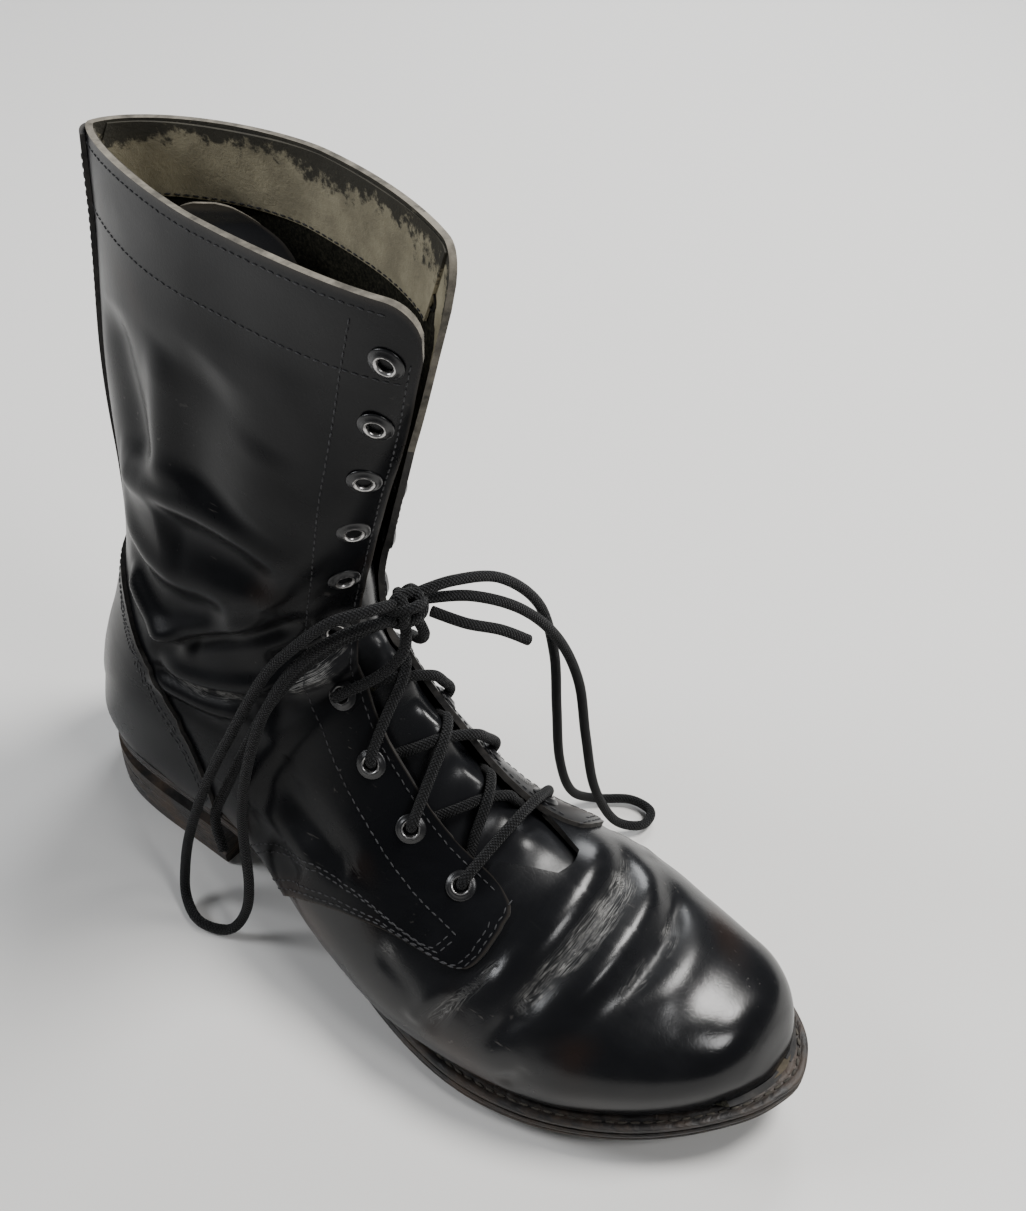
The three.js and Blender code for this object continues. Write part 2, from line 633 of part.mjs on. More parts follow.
// The tongue from its root under the vamp to its top, which leans back inside the shaft.
// row: place in the table of sections. half: half width along the leather, share of the ball width. under: depth under
// the last's form. lean, shift: moved back and to the medial side, shares of the length and of the ball width. turn:
// degrees it is turned to the lateral side. flat: 0 bent like the last's form, 1 flat.
const TONGUE_ROWS = rowsOf("row half under lean shift turn flat", [
  [8.7, 0.15, 4.6, 0, 0, 0, 0],
  [9.3, 0.19, 4.6, 0, 0, 0, 0],
  [10, 0.24, 4.6, 0, 0, 0, 0],
  [11, 0.28, 4.6, 0, 0, 0, 0],
  [12, 0.3, 4.2, 0, 0, 0, 0],
  [13, 0.3, 3.4, 0, 0, 0, 0],
  [14, 0.3, 3.2, 0, 0, 0, 0],
  [15, 0.3, 3.2, 0, 0, 0, 0],
  [16, 0.3, 3.2, 0, 0, 0, 0],
  [17, 0.3, 3.2, 0, 0, 0, 0],
  [18, 0.29, 3.2, 0.002, 0, 0, 0],
  [19.5, 0.27, 3.2, 0.01, 0, 0, 0.05],
  [21, 0.24, 3.2, 0.03, 0.005, 3, 0.15],
  [22.5, 0.2, 3.2, 0.06, 0.01, 8, 0.3],
  [24, 0.17, 3.2, 0.1, 0.02, 15, 0.5],
  [25.5, 0.16, 3.2, 0.15, 0.045, 24, 0.7],
  [27, 0.165, 3.2, 0.21, 0.09, 33, 0.9],
  [28.5, 0.18, 3.2, 0.275, 0.15, 42, 1],
  [29.5, 0.17, 3.2, 0.325, 0.2, 48, 1],
  [29.9, 0.13, 3.2, 0.345, 0.21, 50, 1],
]);
const TONGUE_ACROSS = 4; // steps from its middle to each edge

function makeTongue() {
  const vertical = new THREE.Vector3(0, 0, 1);
  const rings = TONGUE_ROWS.map(({ row, half, under, lean, shift, turn, flat }) => {
    const middle = between(row, 1, () => 0);
    const move = new THREE.Vector3(-lean * LENGTH, across(shift), 0).add(middle.point);
    const turned = -THREE.MathUtils.degToRad(turn);
    const line = [];
    for (let k = -TONGUE_ACROSS; k <= TONGUE_ACROSS; k++) {
      const out = (across(half) * k) / TONGUE_ACROSS;
      const { point, normal } = between(row, k < 0 ? -1 : 1, () => Math.abs(out));
      point.sub(middle.point).lerp(new THREE.Vector3(0, out, 0), flat).applyAxisAngle(vertical, turned);
      normal.lerp(middle.normal, flat).normalize().applyAxisAngle(vertical, turned);
      line.push({ point: point.add(move), normal });
    }
    const sheet = (depth) => line.map(({ point, normal }) => point.clone().addScaledVector(normal, -depth));
    return [...sheet(under), ...sheet(under + TONGUE).reverse()];
  });
  return solidOfRings(rings);
}

// The lace

const LACE_SIDES = 8;

// A round cord along chosen points.
function cordAlong(points, steps) {
  const path = new THREE.CatmullRomCurve3(points, false, "centripetal");
  const section = new THREE.Shape();
  for (let i = 0; i < LACE_SIDES; i++) {
    const turn = (2 * Math.PI * i) / LACE_SIDES;
    const corner = [(LACE / 2) * Math.cos(turn), (LACE / 2) * Math.sin(turn)];
    if (i === 0) section.moveTo(...corner);
    else section.lineTo(...corner);
  }
  return solidOfGeometry(new THREE.ExtrudeGeometry(section, { steps, bevelEnabled: false, extrudePath: path }));
}

const LACED = 4; // eyelets on each side that the lace goes through, counted from the lowest
const OVER_EYELET = LACE / 2 + FLANGE_SEAT + FLANGE_RISE + 5 * GAP; // the lace's middle above the leather
const OVER_THROAT = LACE / 2 + 5 * GAP; // and across the throat
const KNOT = { at: new THREE.Vector3(99, -4, 151), size: new THREE.Vector3(7.5, 8.5, 6.5) };

const overEyelet = ({ point, normal }) => point.clone().addScaledVector(normal, OVER_EYELET);

// From one eyelet to another over the ridge, along the last's form.
const CROSSING = [0.3, 0.5, 0.7];
function crossing(from, to) {
  const a = places[from.side][from.k];
  const b = places[to.side][to.k];
  const ends = [from, to].map(({ side, k }) => ({ sign: side === "lateral" ? -1 : 1, v: places[side][k].v }));
  const inset = (end) => (section) => end.sign * (slitOf(end.sign)(section) + EYELET_IN);
  const points = CROSSING.map((share) => {
    const v = ends[0].v + (ends[1].v - ends[0].v) * share;
    const signed = (section) => inset(ends[0])(section) * (1 - share) + inset(ends[1])(section) * share;
    const near = sections[Math.round(v)];
    const side = signed(near) < 0 ? -1 : 1;
    const { point, normal } = between(v, side, (section) => Math.abs(signed(section)));
    return point.addScaledVector(normal, OVER_THROAT);
  });
  return [overEyelet(a), ...points, overEyelet(b)];
}

const STRAND_STEPS = 30;

// The lace zigzags up from the lowest eyelets to the knot, in two strands that cross.
function makeLacing() {
  const opposite = { lateral: "medial", medial: "lateral" };
  const strand = (first) => {
    const stops = [];
    let side = first;
    for (let k = 0; k < LACED; k++) {
      stops.push({ side, k });
      side = opposite[side];
    }
    const legs = stops.slice(1).flatMap((stop, i) => crossing(stops[i], stop).slice(i === 0 ? 0 : 1));
    return [...legs, ...toKnot(legs[legs.length - 1])];
  };
  const bar = crossing({ side: "medial", k: 0 }, { side: "lateral", k: 0 });
  const one = cordAlong([...bar, ...strand("lateral").slice(1)], STRAND_STEPS);
  const other = cordAlong(strand("medial"), STRAND_STEPS);
  return one.add(other).subtract(knotBlock(GAP));
}

const KNOT_APPROACH = 10; // the strands come up to the knot from in front of the ankle
function toKnot(from) {
  const middle = from.clone().lerp(KNOT.at, 0.5);
  middle.x += KNOT_APPROACH;
  return [middle, KNOT.at.clone()];
}

function knotBlock(grown) {
  const ball = new THREE.IcosahedronGeometry(1, 1);
  ball.scale(KNOT.size.x + grown, KNOT.size.y + grown, KNOT.size.z + grown);
  ball.translate(KNOT.at.x, KNOT.at.y, KNOT.at.z);
  return solidOfGeometry(ball);
}

// Routes of the bow and of the two ends, in millimetres.
const ROUTES = {
  lace_loop_lateral: [
    [99, -6, 154], [96, -18, 157], [88, -28, 154], [78, -35, 141], [70, -40, 127], [59, -45, 98], [48, -49, 67],
    [39, -52, 34], [37, -55, 13], [42, -60, 4], [53, -64, 3.2], [64, -60, 4], [68, -55, 13], [69, -53, 30],
    [65, -50, 53], [66, -49, 76], [70, -46, 102], [74, -42, 119], [80, -35, 135], [90, -24, 147], [100, -10, 150],
  ],
  lace_loop_medial: [
    [100, -2, 155], [106, 12, 155], [112, 30, 147], [118, 46, 127], [121, 55, 98], [122, 60, 66], [124, 64, 34],
    [128, 70, 12], [135, 79, 4], [146, 88, 3.2], [156, 88, 3.2], [157, 79, 4], [149, 70, 10], [141, 64, 30],
    [136, 60, 60], [132, 56, 90], [126, 48, 114], [119, 34, 134], [110, 17, 147], [101, 2, 151],
  ],
  lace_end_lateral: [
    [96, -9, 146], [86, -20, 139], [76, -28, 126], [66, -35, 106], [58, -41, 81], [52, -44, 62], [49, -48, 47],
    [54, -50, 34],
  ],
  lace_end_medial: [
    [105, 2, 148], [114, 9, 143], [121, 19, 137], [127, 27, 130],
  ],
};
const STEP_LENGTH = 3 * LACE;

function makeCord(name) {
  const points = ROUTES[name].map((p) => new THREE.Vector3(...p));
  const length = new THREE.CatmullRomCurve3(points, false, "centripetal").getLength();
  return cordAlong(points, Math.round(length / STEP_LENGTH)).subtract(knotBlock(GAP));
}

// Finishes

const finish = (color, roughness, metalness = 0) => new THREE.MeshStandardMaterial({ color, roughness, metalness });
const leather = finish(0x15161a, 0.3);
const rubber = finish(0x1d1a18, 0.75);
const stackedSole = finish(0x241f1b, 0.6);
const board = finish(0x8a7a5e, 0.85);
const enamel = finish(0x141414, 0.35, 0.6);
const braid = finish(0x16171b, 0.9);

function meshOf(name, solid, material) {
  const made = solid.getMesh();
  const geometry = new THREE.BufferGeometry();
  geometry.setAttribute("position", new THREE.BufferAttribute(new Float32Array(made.vertProperties), 3));
  geometry.setIndex(new THREE.BufferAttribute(new Uint32Array(made.triVerts), 1));
  geometry.computeVertexNormals();
  const mesh = new THREE.Mesh(geometry, material);
  mesh.name = name;
  return mesh;
}

const boot = new THREE.Group();
const sole = new THREE.Group();
sole.add(meshOf("heel", makeHeel(), rubber));
sole.add(meshOf("outsole", makeOutsole(), rubber));
sole.add(meshOf("midsole", soleLayer((x) => underside(x) + MIDSOLE_AT, MIDSOLE, MIDSOLE_EDGE), stackedSole));
sole.add(meshOf("welt", makeWelt(), stackedSole));
sole.add(meshOf("insole", makeInsole(), board));
boot.add(sole);

boot.add(meshOf("upper", makeUpper(), leather));
boot.add(meshOf("heel_counter", makeCounter(), leather));
boot.add(meshOf("backstay", makeBackstay(), leather));
boot.add(meshOf("tongue", makeTongue(), leather));

const eyelets = new THREE.Group();
for (const side of ["lateral", "medial"]) {
  places[side].forEach((place, k) => eyelets.add(meshOf(`eyelet_${side}_${k + 1}`, eyeletAt(place), enamel)));
}
boot.add(eyelets);

const lace = new THREE.Group();
lace.add(meshOf("lacing", makeLacing(), braid));
lace.add(meshOf("lace_knot", knotBlock(0), braid));
for (const name of Object.keys(ROUTES)) lace.add(meshOf(name, makeCord(name), braid));
boot.add(lace);

export default boot;
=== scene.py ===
"""A worn black combat boot for the right foot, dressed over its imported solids."""
import math

import bpy
import numpy as np
from bpy.props import FloatProperty, FloatVectorProperty, IntProperty, PointerProperty
from mathutils import Matrix, Vector


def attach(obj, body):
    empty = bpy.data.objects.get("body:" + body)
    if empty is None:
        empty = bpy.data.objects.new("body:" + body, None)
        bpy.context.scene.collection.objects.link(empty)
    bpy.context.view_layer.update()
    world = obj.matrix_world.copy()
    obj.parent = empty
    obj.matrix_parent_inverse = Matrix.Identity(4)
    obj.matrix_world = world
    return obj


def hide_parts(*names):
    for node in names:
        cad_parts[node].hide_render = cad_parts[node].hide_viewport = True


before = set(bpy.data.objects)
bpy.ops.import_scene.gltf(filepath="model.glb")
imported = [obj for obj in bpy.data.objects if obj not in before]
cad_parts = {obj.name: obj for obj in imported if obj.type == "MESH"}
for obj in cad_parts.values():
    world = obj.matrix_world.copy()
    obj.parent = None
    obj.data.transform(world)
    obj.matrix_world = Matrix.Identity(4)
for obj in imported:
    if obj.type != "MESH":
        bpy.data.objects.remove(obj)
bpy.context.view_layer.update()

bl_info = {
    "name": "Combat boot",
    "version": (1, 0, 0),
    "blender": (4, 5, 0),
    "location": "View3D > Sidebar > Boot",
    "description": "Builds a worn black leather combat boot with its laces",
    "category": "Object",
}

MM = 0.001

# Sizes that the form needs, in millimetres
LENGTH = 305.0
BALL_WIDTH = 108.0
HEEL_LENGTH = 80.0
HEEL_HEIGHT = 19.0
OUTSOLE = 5.5
MIDSOLE = 4.0
WELT = 3.0
INSOLE = 3.5
WELT_WIDTH = 10.0
TOE_SPRING = 14.0
INSTEP = 118.0
SHAFT_HEIGHT = 265.0
LAP = 1.6
OVERLAY = 1.4
TONGUE = 1.8
GAP = 0.3
EYELET_IN = 9.5
HEEL_BACK = -HEEL_LENGTH / 2
MIDSOLE_AT = OUTSOLE + GAP
SEAT_AT = MIDSOLE_AT + MIDSOLE + GAP
SEAT = HEEL_HEIGHT + SEAT_AT
RISE = SHAFT_HEIGHT - SEAT - INSTEP

# Outline of the sole: share of the length, lateral and medial half width as shares of the ball width
SOLE_OUTLINE = np.array([
    (0, -0.02, -0.02), (0.004, -0.095, 0.06), (0.018, -0.185, 0.145), (0.045, -0.265, 0.228),
    (0.085, -0.32, 0.283), (0.14, -0.343, 0.306), (0.22, -0.347, 0.3), (0.264, -0.35, 0.29),
    (0.3, -0.352, 0.283), (0.38, -0.378, 0.279), (0.46, -0.425, 0.303), (0.54, -0.487, 0.345),
    (0.62, -0.54, 0.4), (0.69, -0.556, 0.438), (0.76, -0.528, 0.444), (0.82, -0.472, 0.43),
    (0.875, -0.392, 0.395), (0.92, -0.298, 0.345), (0.955, -0.198, 0.28), (0.98, -0.105, 0.21),
    (0.994, -0.01, 0.135), (1, 0.06, 0.06),
])
# Underside of the outsole: share of the length, shares of the heel height and of the toe spring
SOLE_RISE = np.array([
    (0, 1, 0), (0.264, 1, 0), (0.344, 0.8, 0), (0.4, 0.56, 0), (0.47, 0.24, 0), (0.53, 0.06, 0),
    (0.58, 0, 0), (0.73, 0, 0), (0.8, 0, 0.12), (0.88, 0, 0.42), (0.95, 0, 0.77), (1, 0, 1),
])
COLUMNS = ("back front low high lateral medial heel ridge wide base round tail "
           "slit_lateral slit_medial").split()
# Sections of the last from toe to collar, in the columns above
SECTIONS = np.array([
    (0.978, 0.978, 0, 0.006, 0.02, 0.02, 0.065, 0.065, 0.35, 0.93, 2.2, 2.2, 0, 0),
    (0.976, 0.976, 0, 0.05, 0.07, 0.065, 0.065, 0.065, 0.35, 0.93, 2.2, 2.2, 0, 0),
    (0.969, 0.969, 0, 0.1, 0.125, 0.12, 0.06, 0.06, 0.35, 0.93, 2.2, 2.2, 0, 0),
    (0.956, 0.956, 0, 0.165, 0.19, 0.185, 0.05, 0.052, 0.35, 0.93, 2.2, 2.2, 0, 0),
    (0.935, 0.934, 0, 0.233, 0.264, 0.25, 0.04, 0.045, 0.34, 0.93, 2.2, 2.2, 0, 0),
    (0.902, 0.902, 0, 0.28, 0.343, 0.315, 0.028, 0.038, 0.32, 0.92, 2.2, 2.2, 0, 0),
    (0.859, 0.859, 0, 0.328, 0.426, 0.35, 0.023, 0.032, 0.3, 0.91, 2.15, 2.2, 0, 0),
    (0.807, 0.808, 0, 0.385, 0.5, 0.385, 0.018, 0.025, 0.27, 0.9, 2.1, 2.2, 0, 0),
    (0.754, 0.76, 0, 0.45, 0.546, 0.41, 0.014, 0.018, 0.24, 0.89, 2, 2.2, 0, 0),
    (0.698, 0.713, 0, 0.5, 0.57, 0.42, 0.009, 0.008, 0.22, 0.88, 1.9, 2.2, 0.03, 0.03),
    (0.643, 0.666, 0, 0.53, 0.574, 0.426, 0, -0.002, 0.2, 0.86, 1.75, 2.2, 0.191, 0.12),
    (0.577, 0.618, 0, 0.568, 0.565, 0.408, -0.01, -0.012, 0.19, 0.83, 1.6, 2.2, 0.196, 0.125),
    (0.505, 0.571, 0, 0.625, 0.528, 0.389, -0.018, -0.02, 0.18, 0.8, 1.5, 2.2, 0.196, 0.125),
    (0.426, 0.526, 0, 0.685, 0.477, 0.361, -0.023, -0.025, 0.17, 0.8, 1.5, 2.2, 0.191, 0.125),
    (0.344, 0.483, 0, 0.735, 0.407, 0.338, -0.023, -0.028, 0.18, 0.82, 1.5, 2.2, 0.176, 0.12),
    (0.262, 0.449, 0, 0.787, 0.352, 0.324, -0.023, -0.03, 0.22, 0.88, 1.6, 2.2, 0.136, 0.12),
    (0.17, 0.426, 0, 0.845, 0.324, 0.315, -0.02, -0.03, 0.28, 0.93, 1.7, 2.2, 0.101, 0.13),
    (0.085, 0.413, 0, 0.92, 0.315, 0.315, -0.02, -0.03, 0.34, 0.86, 1.9, 2.2, 0.061, 0.13),
    (0.02, 0.409, 0.003, 1, 0.31, 0.315, -0.02, -0.03, 0.38, 0.5, 2, 2.2, 0.041, 0.125),
    (-0.01, 0.412, 0.085, 1.05, 0.305, 0.31, -0.018, -0.032, 0.4, 0, 2, 2.1, 0.036, 0.12),
    (-0.01, 0.417, 0.2, 1.11, 0.297, 0.308, -0.015, -0.036, 0.4, 0, 2, 2, 0.036, 0.12),
    (0, 0.424, 0.33, 1.17, 0.292, 0.304, -0.01, -0.041, 0.41, 0, 2, 1.9, 0.036, 0.12),
    (0.014, 0.43, 0.46, 1.23, 0.286, 0.301, -0.005, -0.047, 0.42, 0, 2, 1.8, 0.036, 0.12),
    (0.027, 0.437, 0.627, 1.3, 0.281, 0.297, 0, -0.054, 0.43, 0, 2, 1.7, 0.036, 0.125),
    (0.03, 0.445, 0.78, 1.365, 0.27, 0.295, 0, -0.063, 0.43, 0, 2, 1.6, 0.036, 0.13),
    (0.026, 0.454, 0.94, 1.44, 0.258, 0.297, 0.004, -0.074, 0.44, 0, 2, 1.6, 0.036, 0.14),
    (0.022, 0.464, 1.11, 1.517, 0.248, 0.298, 0.008, -0.085, 0.44, 0, 2, 1.6, 0.036, 0.155),
    (0.02, 0.476, 1.29, 1.6, 0.236, 0.301, 0.012, -0.099, 0.45, 0, 2, 1.6, 0.036, 0.17),
    (0.02, 0.489, 1.475, 1.695, 0.218, 0.314, 0.014, -0.118, 0.45, 0, 2, 1.6, 0.036, 0.19),
    (0.022, 0.503, 1.653, 1.797, 0.197, 0.325, 0.016, -0.141, 0.45, 0, 2, 1.6, 0.038, 0.21),
    (0.025, 0.516, 1.822, 1.9, 0.177, 0.337, 0.018, -0.162, 0.45, 0, 2, 1.6, 0.041, 0.225),
    (0.027, 0.55, 2.08, 2.2, 0.148, 0.362, 0.02, -0.215, 0.45, 0, 2, 1.6, 0.041, 0.25),
])
COLLAR_ROW = 30.71
LATERAL = -1
MEDIAL = 1


def along(share):
    """x at a share of the length, from the heel's back."""
    return HEEL_BACK + share * LENGTH


def across(share):
    return share * BALL_WIDTH


def level(h):
    """Height above the foot's seat: 0 to 1 up the instep, 1 to 2 up the shaft."""
    return np.minimum(h, 1) * INSTEP + np.maximum(h - 1, 0) * RISE


def smooth_rows(table, v):
    """A smooth curve through the rows of a table."""
    v = np.clip(np.asarray(v, float), 0, len(table) - 1 - 1e-9)
    i = np.floor(v).astype(int)
    t = (v - i)[..., None]
    before, here = table[np.maximum(i - 1, 0)], table[i]
    after, beyond = table[i + 1], table[np.minimum(i + 2, len(table) - 1)]
    m0, m1 = (after - before) / 2, (beyond - here) / 2
    return ((2 * t**3 - 3 * t**2 + 1) * here + (t**3 - 2 * t**2 + t) * m0
            + (-2 * t**3 + 3 * t**2) * after + (t**3 - t**2) * m1)


def underside(x):
    """Height of the outsole's underside above the floor."""
    at = (np.asarray(x) - HEEL_BACK) / LENGTH
    return (np.interp(at, SOLE_RISE[:, 0], SOLE_RISE[:, 1]) * HEEL_HEIGHT
            + np.interp(at, SOLE_RISE[:, 0], SOLE_RISE[:, 2]) * TOE_SPRING)


# Where the welt begins and is at its full height, shares of the length
WELT_STARTS = 0.2
WELT_FULL = 0.262


def footing(x):
    """Height at which the upper stands on the sole."""
    at = (np.asarray(x) - HEEL_BACK) / LENGTH
    welt = np.clip((at - WELT_STARTS) / (WELT_FULL - WELT_STARTS), 0, 1) * (WELT + GAP)
    return underside(x) + SEAT_AT + welt


# Points on each half section
WALK = 97
# Width along a cut edge over which the leather's slack waves die down
CALM = 12.0


def half_lines(v, side):
    """Half sections from the ridge down to the low end, as fine lines of points, for each v."""
    rows = smooth_rows(SECTIONS, v)
    c = {name: rows[:, k][:, None] for k, name in enumerate(COLUMNS)}
    angle = np.linspace(math.pi / 2, -math.pi / 2, WALK)[None, :]
    low_x, high_x = along(c["back"]), along(c["front"])
    ground = footing(low_x)
    low_z, high_z = ground + level(c["low"]), ground + level(c["high"])
    width = across(c["lateral"] if side < 0 else c["medial"])
    cosine, sine = np.maximum(np.cos(angle), 0), np.abs(np.sin(angle))
    above = angle >= 0
    full = np.where(above, 2 / c["round"], 2 / c["tail"])
    base = np.where(above, 0, np.maximum(c["base"], 0))
    t = np.where(above, c["wide"] + (1 - c["wide"]) * sine**full, c["wide"] * (1 - sine**full))
    centre = across(c["heel"] + (c["ridge"] - c["heel"]) * t)
    y = centre + side * width * (base + (1 - base) * cosine**full)
    return np.stack([low_x + (high_x - low_x) * t, y, low_z + (high_z - low_z) * t], -1)


def run_of(lines):
    """How far along each of several lines its points are."""
    steps = np.linalg.norm(np.diff(lines, axis=1), axis=2)
    return np.concatenate([np.zeros((len(lines), 1)), np.cumsum(steps, axis=1)], axis=1)


def run_along(line):
    """How far along a line its points are."""
    return run_of(line[None])[0]


def at_run(line, run, distances):
    """Points at distances along a line whose own distances are in run."""
    return np.stack([np.interp(distances, run, column) for column in line.T], -1)


def on_form(v, side, distance):
    """Points on the form: on each section v, a distance from its ridge."""
    v = np.atleast_1d(np.asarray(v, float))
    distance = np.broadcast_to(np.asarray(distance, float), v.shape)
    lines = half_lines(v, side)
    return np.array([at_run(line, run, d) for line, run, d in zip(lines, run_of(lines), distance)])


def normals_on(v, side, distance):
    """Outward normals of the form at the same places as on_form."""
    v = np.atleast_1d(np.asarray(v, float))
    distance = np.broadcast_to(np.asarray(distance, float), v.shape)
    onward = on_form(v + 0.04, side, distance) - on_form(v - 0.04, side, distance)
    down = on_form(v, side, distance + 0.6) - on_form(v, side, np.maximum(distance - 0.6, 0))
    n = np.cross(down, onward) * side
    return n / np.maximum(np.linalg.norm(n, axis=1, keepdims=True), 1e-9)


def slit(v, side):
    """From the ridge to the facing's edge."""
    column = COLUMNS.index("slit_lateral" if side < 0 else "slit_medial")
    return across(smooth_rows(SECTIONS, v)[..., column])


# Front edge of the quarters and top edge of the counter: share of the length, share of the instep
QUARTER_EDGE = np.array([
    (0.66, 0.72), (0.668, 0.63), (0.672, 0.55), (0.667, 0.49), (0.652, 0.46), (0.607, 0.452), (0.551, 0.44),
    (0.482, 0.4), (0.42, 0.31), (0.37, 0.12),
])
COUNTER_EDGE = np.array([
    (0.266, 0.2), (0.26, 0.34), (0.24, 0.43), (0.197, 0.6), (0.16, 0.73), (0.125, 0.83), (0.082, 0.9),
    (0.03, 0.925), (-0.2, 0.93),
])


def quarter_front(z):
    """x of the quarters' front edge at a height."""
    rows = smooth_rows(QUARTER_EDGE, np.linspace(0, len(QUARTER_EDGE) - 1, 90))
    order = np.argsort(rows[:, 1])
    return along(np.interp(np.asarray(z) / INSTEP, rows[order, 1], rows[order, 0]))


def counter_top(x):
    """Height of the counter's top edge at x."""
    rows = smooth_rows(COUNTER_EDGE, np.linspace(0, len(COUNTER_EDGE) - 1, 90))
    order = np.argsort(rows[:, 0])
    return INSTEP * np.interp((np.asarray(x) - HEEL_BACK) / LENGTH, rows[order, 0], rows[order, 1])


def evened(values, weights):
    """A row of values, each replaced by the weighted mean of its neighbours."""
    weights = np.array(weights) / sum(weights)
    return np.convolve(np.pad(values, len(weights) // 2, mode="edge"), weights, mode="valid")


def start_rows(shares, side, from_slit):
    """Where each line across the leather meets the quarters' front edge, in rows of the table."""
    vs = np.linspace(9.2, 18, 260)
    lines = half_lines(vs, side)
    run = run_of(lines)
    begin = slit(vs, side) if from_slit else np.zeros(len(vs))
    out = []
    for share in shares:
        d = begin + (run[:, -1] - begin) * share
        points = np.array([at_run(lines[i], run[i], d[i]) for i in range(len(vs))])
        behind = np.nonzero(points[:, 0] < quarter_front(points[:, 2]))[0]
        out.append(vs[behind[0]] if len(behind) else vs[-1])
    return evened(out, (1, 2, 3, 2, 1))


def grid_points(vs, side, share, from_slit=True):
    """Points for a grid of rows v[i, j] at shares of the way from the facing's edge to the low end."""
    rows, columns = vs.shape
    flat = vs.reshape(-1)
    out = np.empty((len(flat), 3))
    for a in range(0, len(flat), 4000):
        part = flat[a:a + 4000]
        lines = half_lines(part, side)
        run = run_of(lines)
        begin = slit(part, side) if from_slit else np.zeros(len(part))
        s = np.tile(share, rows)[a:a + 4000]
        d = begin + (run[:, -1] - begin) * s
        at = (run < d[:, None]).sum(1).clip(1, WALK - 1)
        i = np.arange(len(part))
        t = (d - run[i, at - 1]) / np.maximum(run[i, at] - run[i, at - 1], 1e-9)
        out[a:a + 4000] = lines[i, at - 1] + (lines[i, at] - lines[i, at - 1]) * t[:, None].clip(0, 1)
    return out.reshape(rows, columns, 3)


def grid_normals(points):
    n = np.cross(np.gradient(points, axis=1), np.gradient(points, axis=0))
    return n / np.maximum(np.linalg.norm(n, axis=2, keepdims=True), 1e-9)


def raised(points, lift):
    """A grid of points, each moved outwards by its own height."""
    return points + grid_normals(points) * lift.reshape(points.shape[:2] + (1,))


def polyline(points, count):
    """A smooth line of count points through a few."""
    points = np.asarray(points, float)
    return smooth_rows(points, np.linspace(0, len(points) - 1, count))


def near_line(points, line):
    """Distance from each point to a line, and how far along the line it is, 0 to 1."""
    best = np.full(len(points), 1e9)
    where = np.zeros(len(points))
    for k in range(len(line) - 1):
        a, b = line[k], line[k + 1]
        ab = b - a
        t = np.clip(((points - a) @ ab) / max(ab @ ab, 1e-9), 0, 1)
        d = np.linalg.norm(points - a - t[:, None] * ab, axis=1)
        closer = d < best
        best[closer] = d[closer]
        where[closer] = (k + t[closer]) / (len(line) - 1)
    return best, where


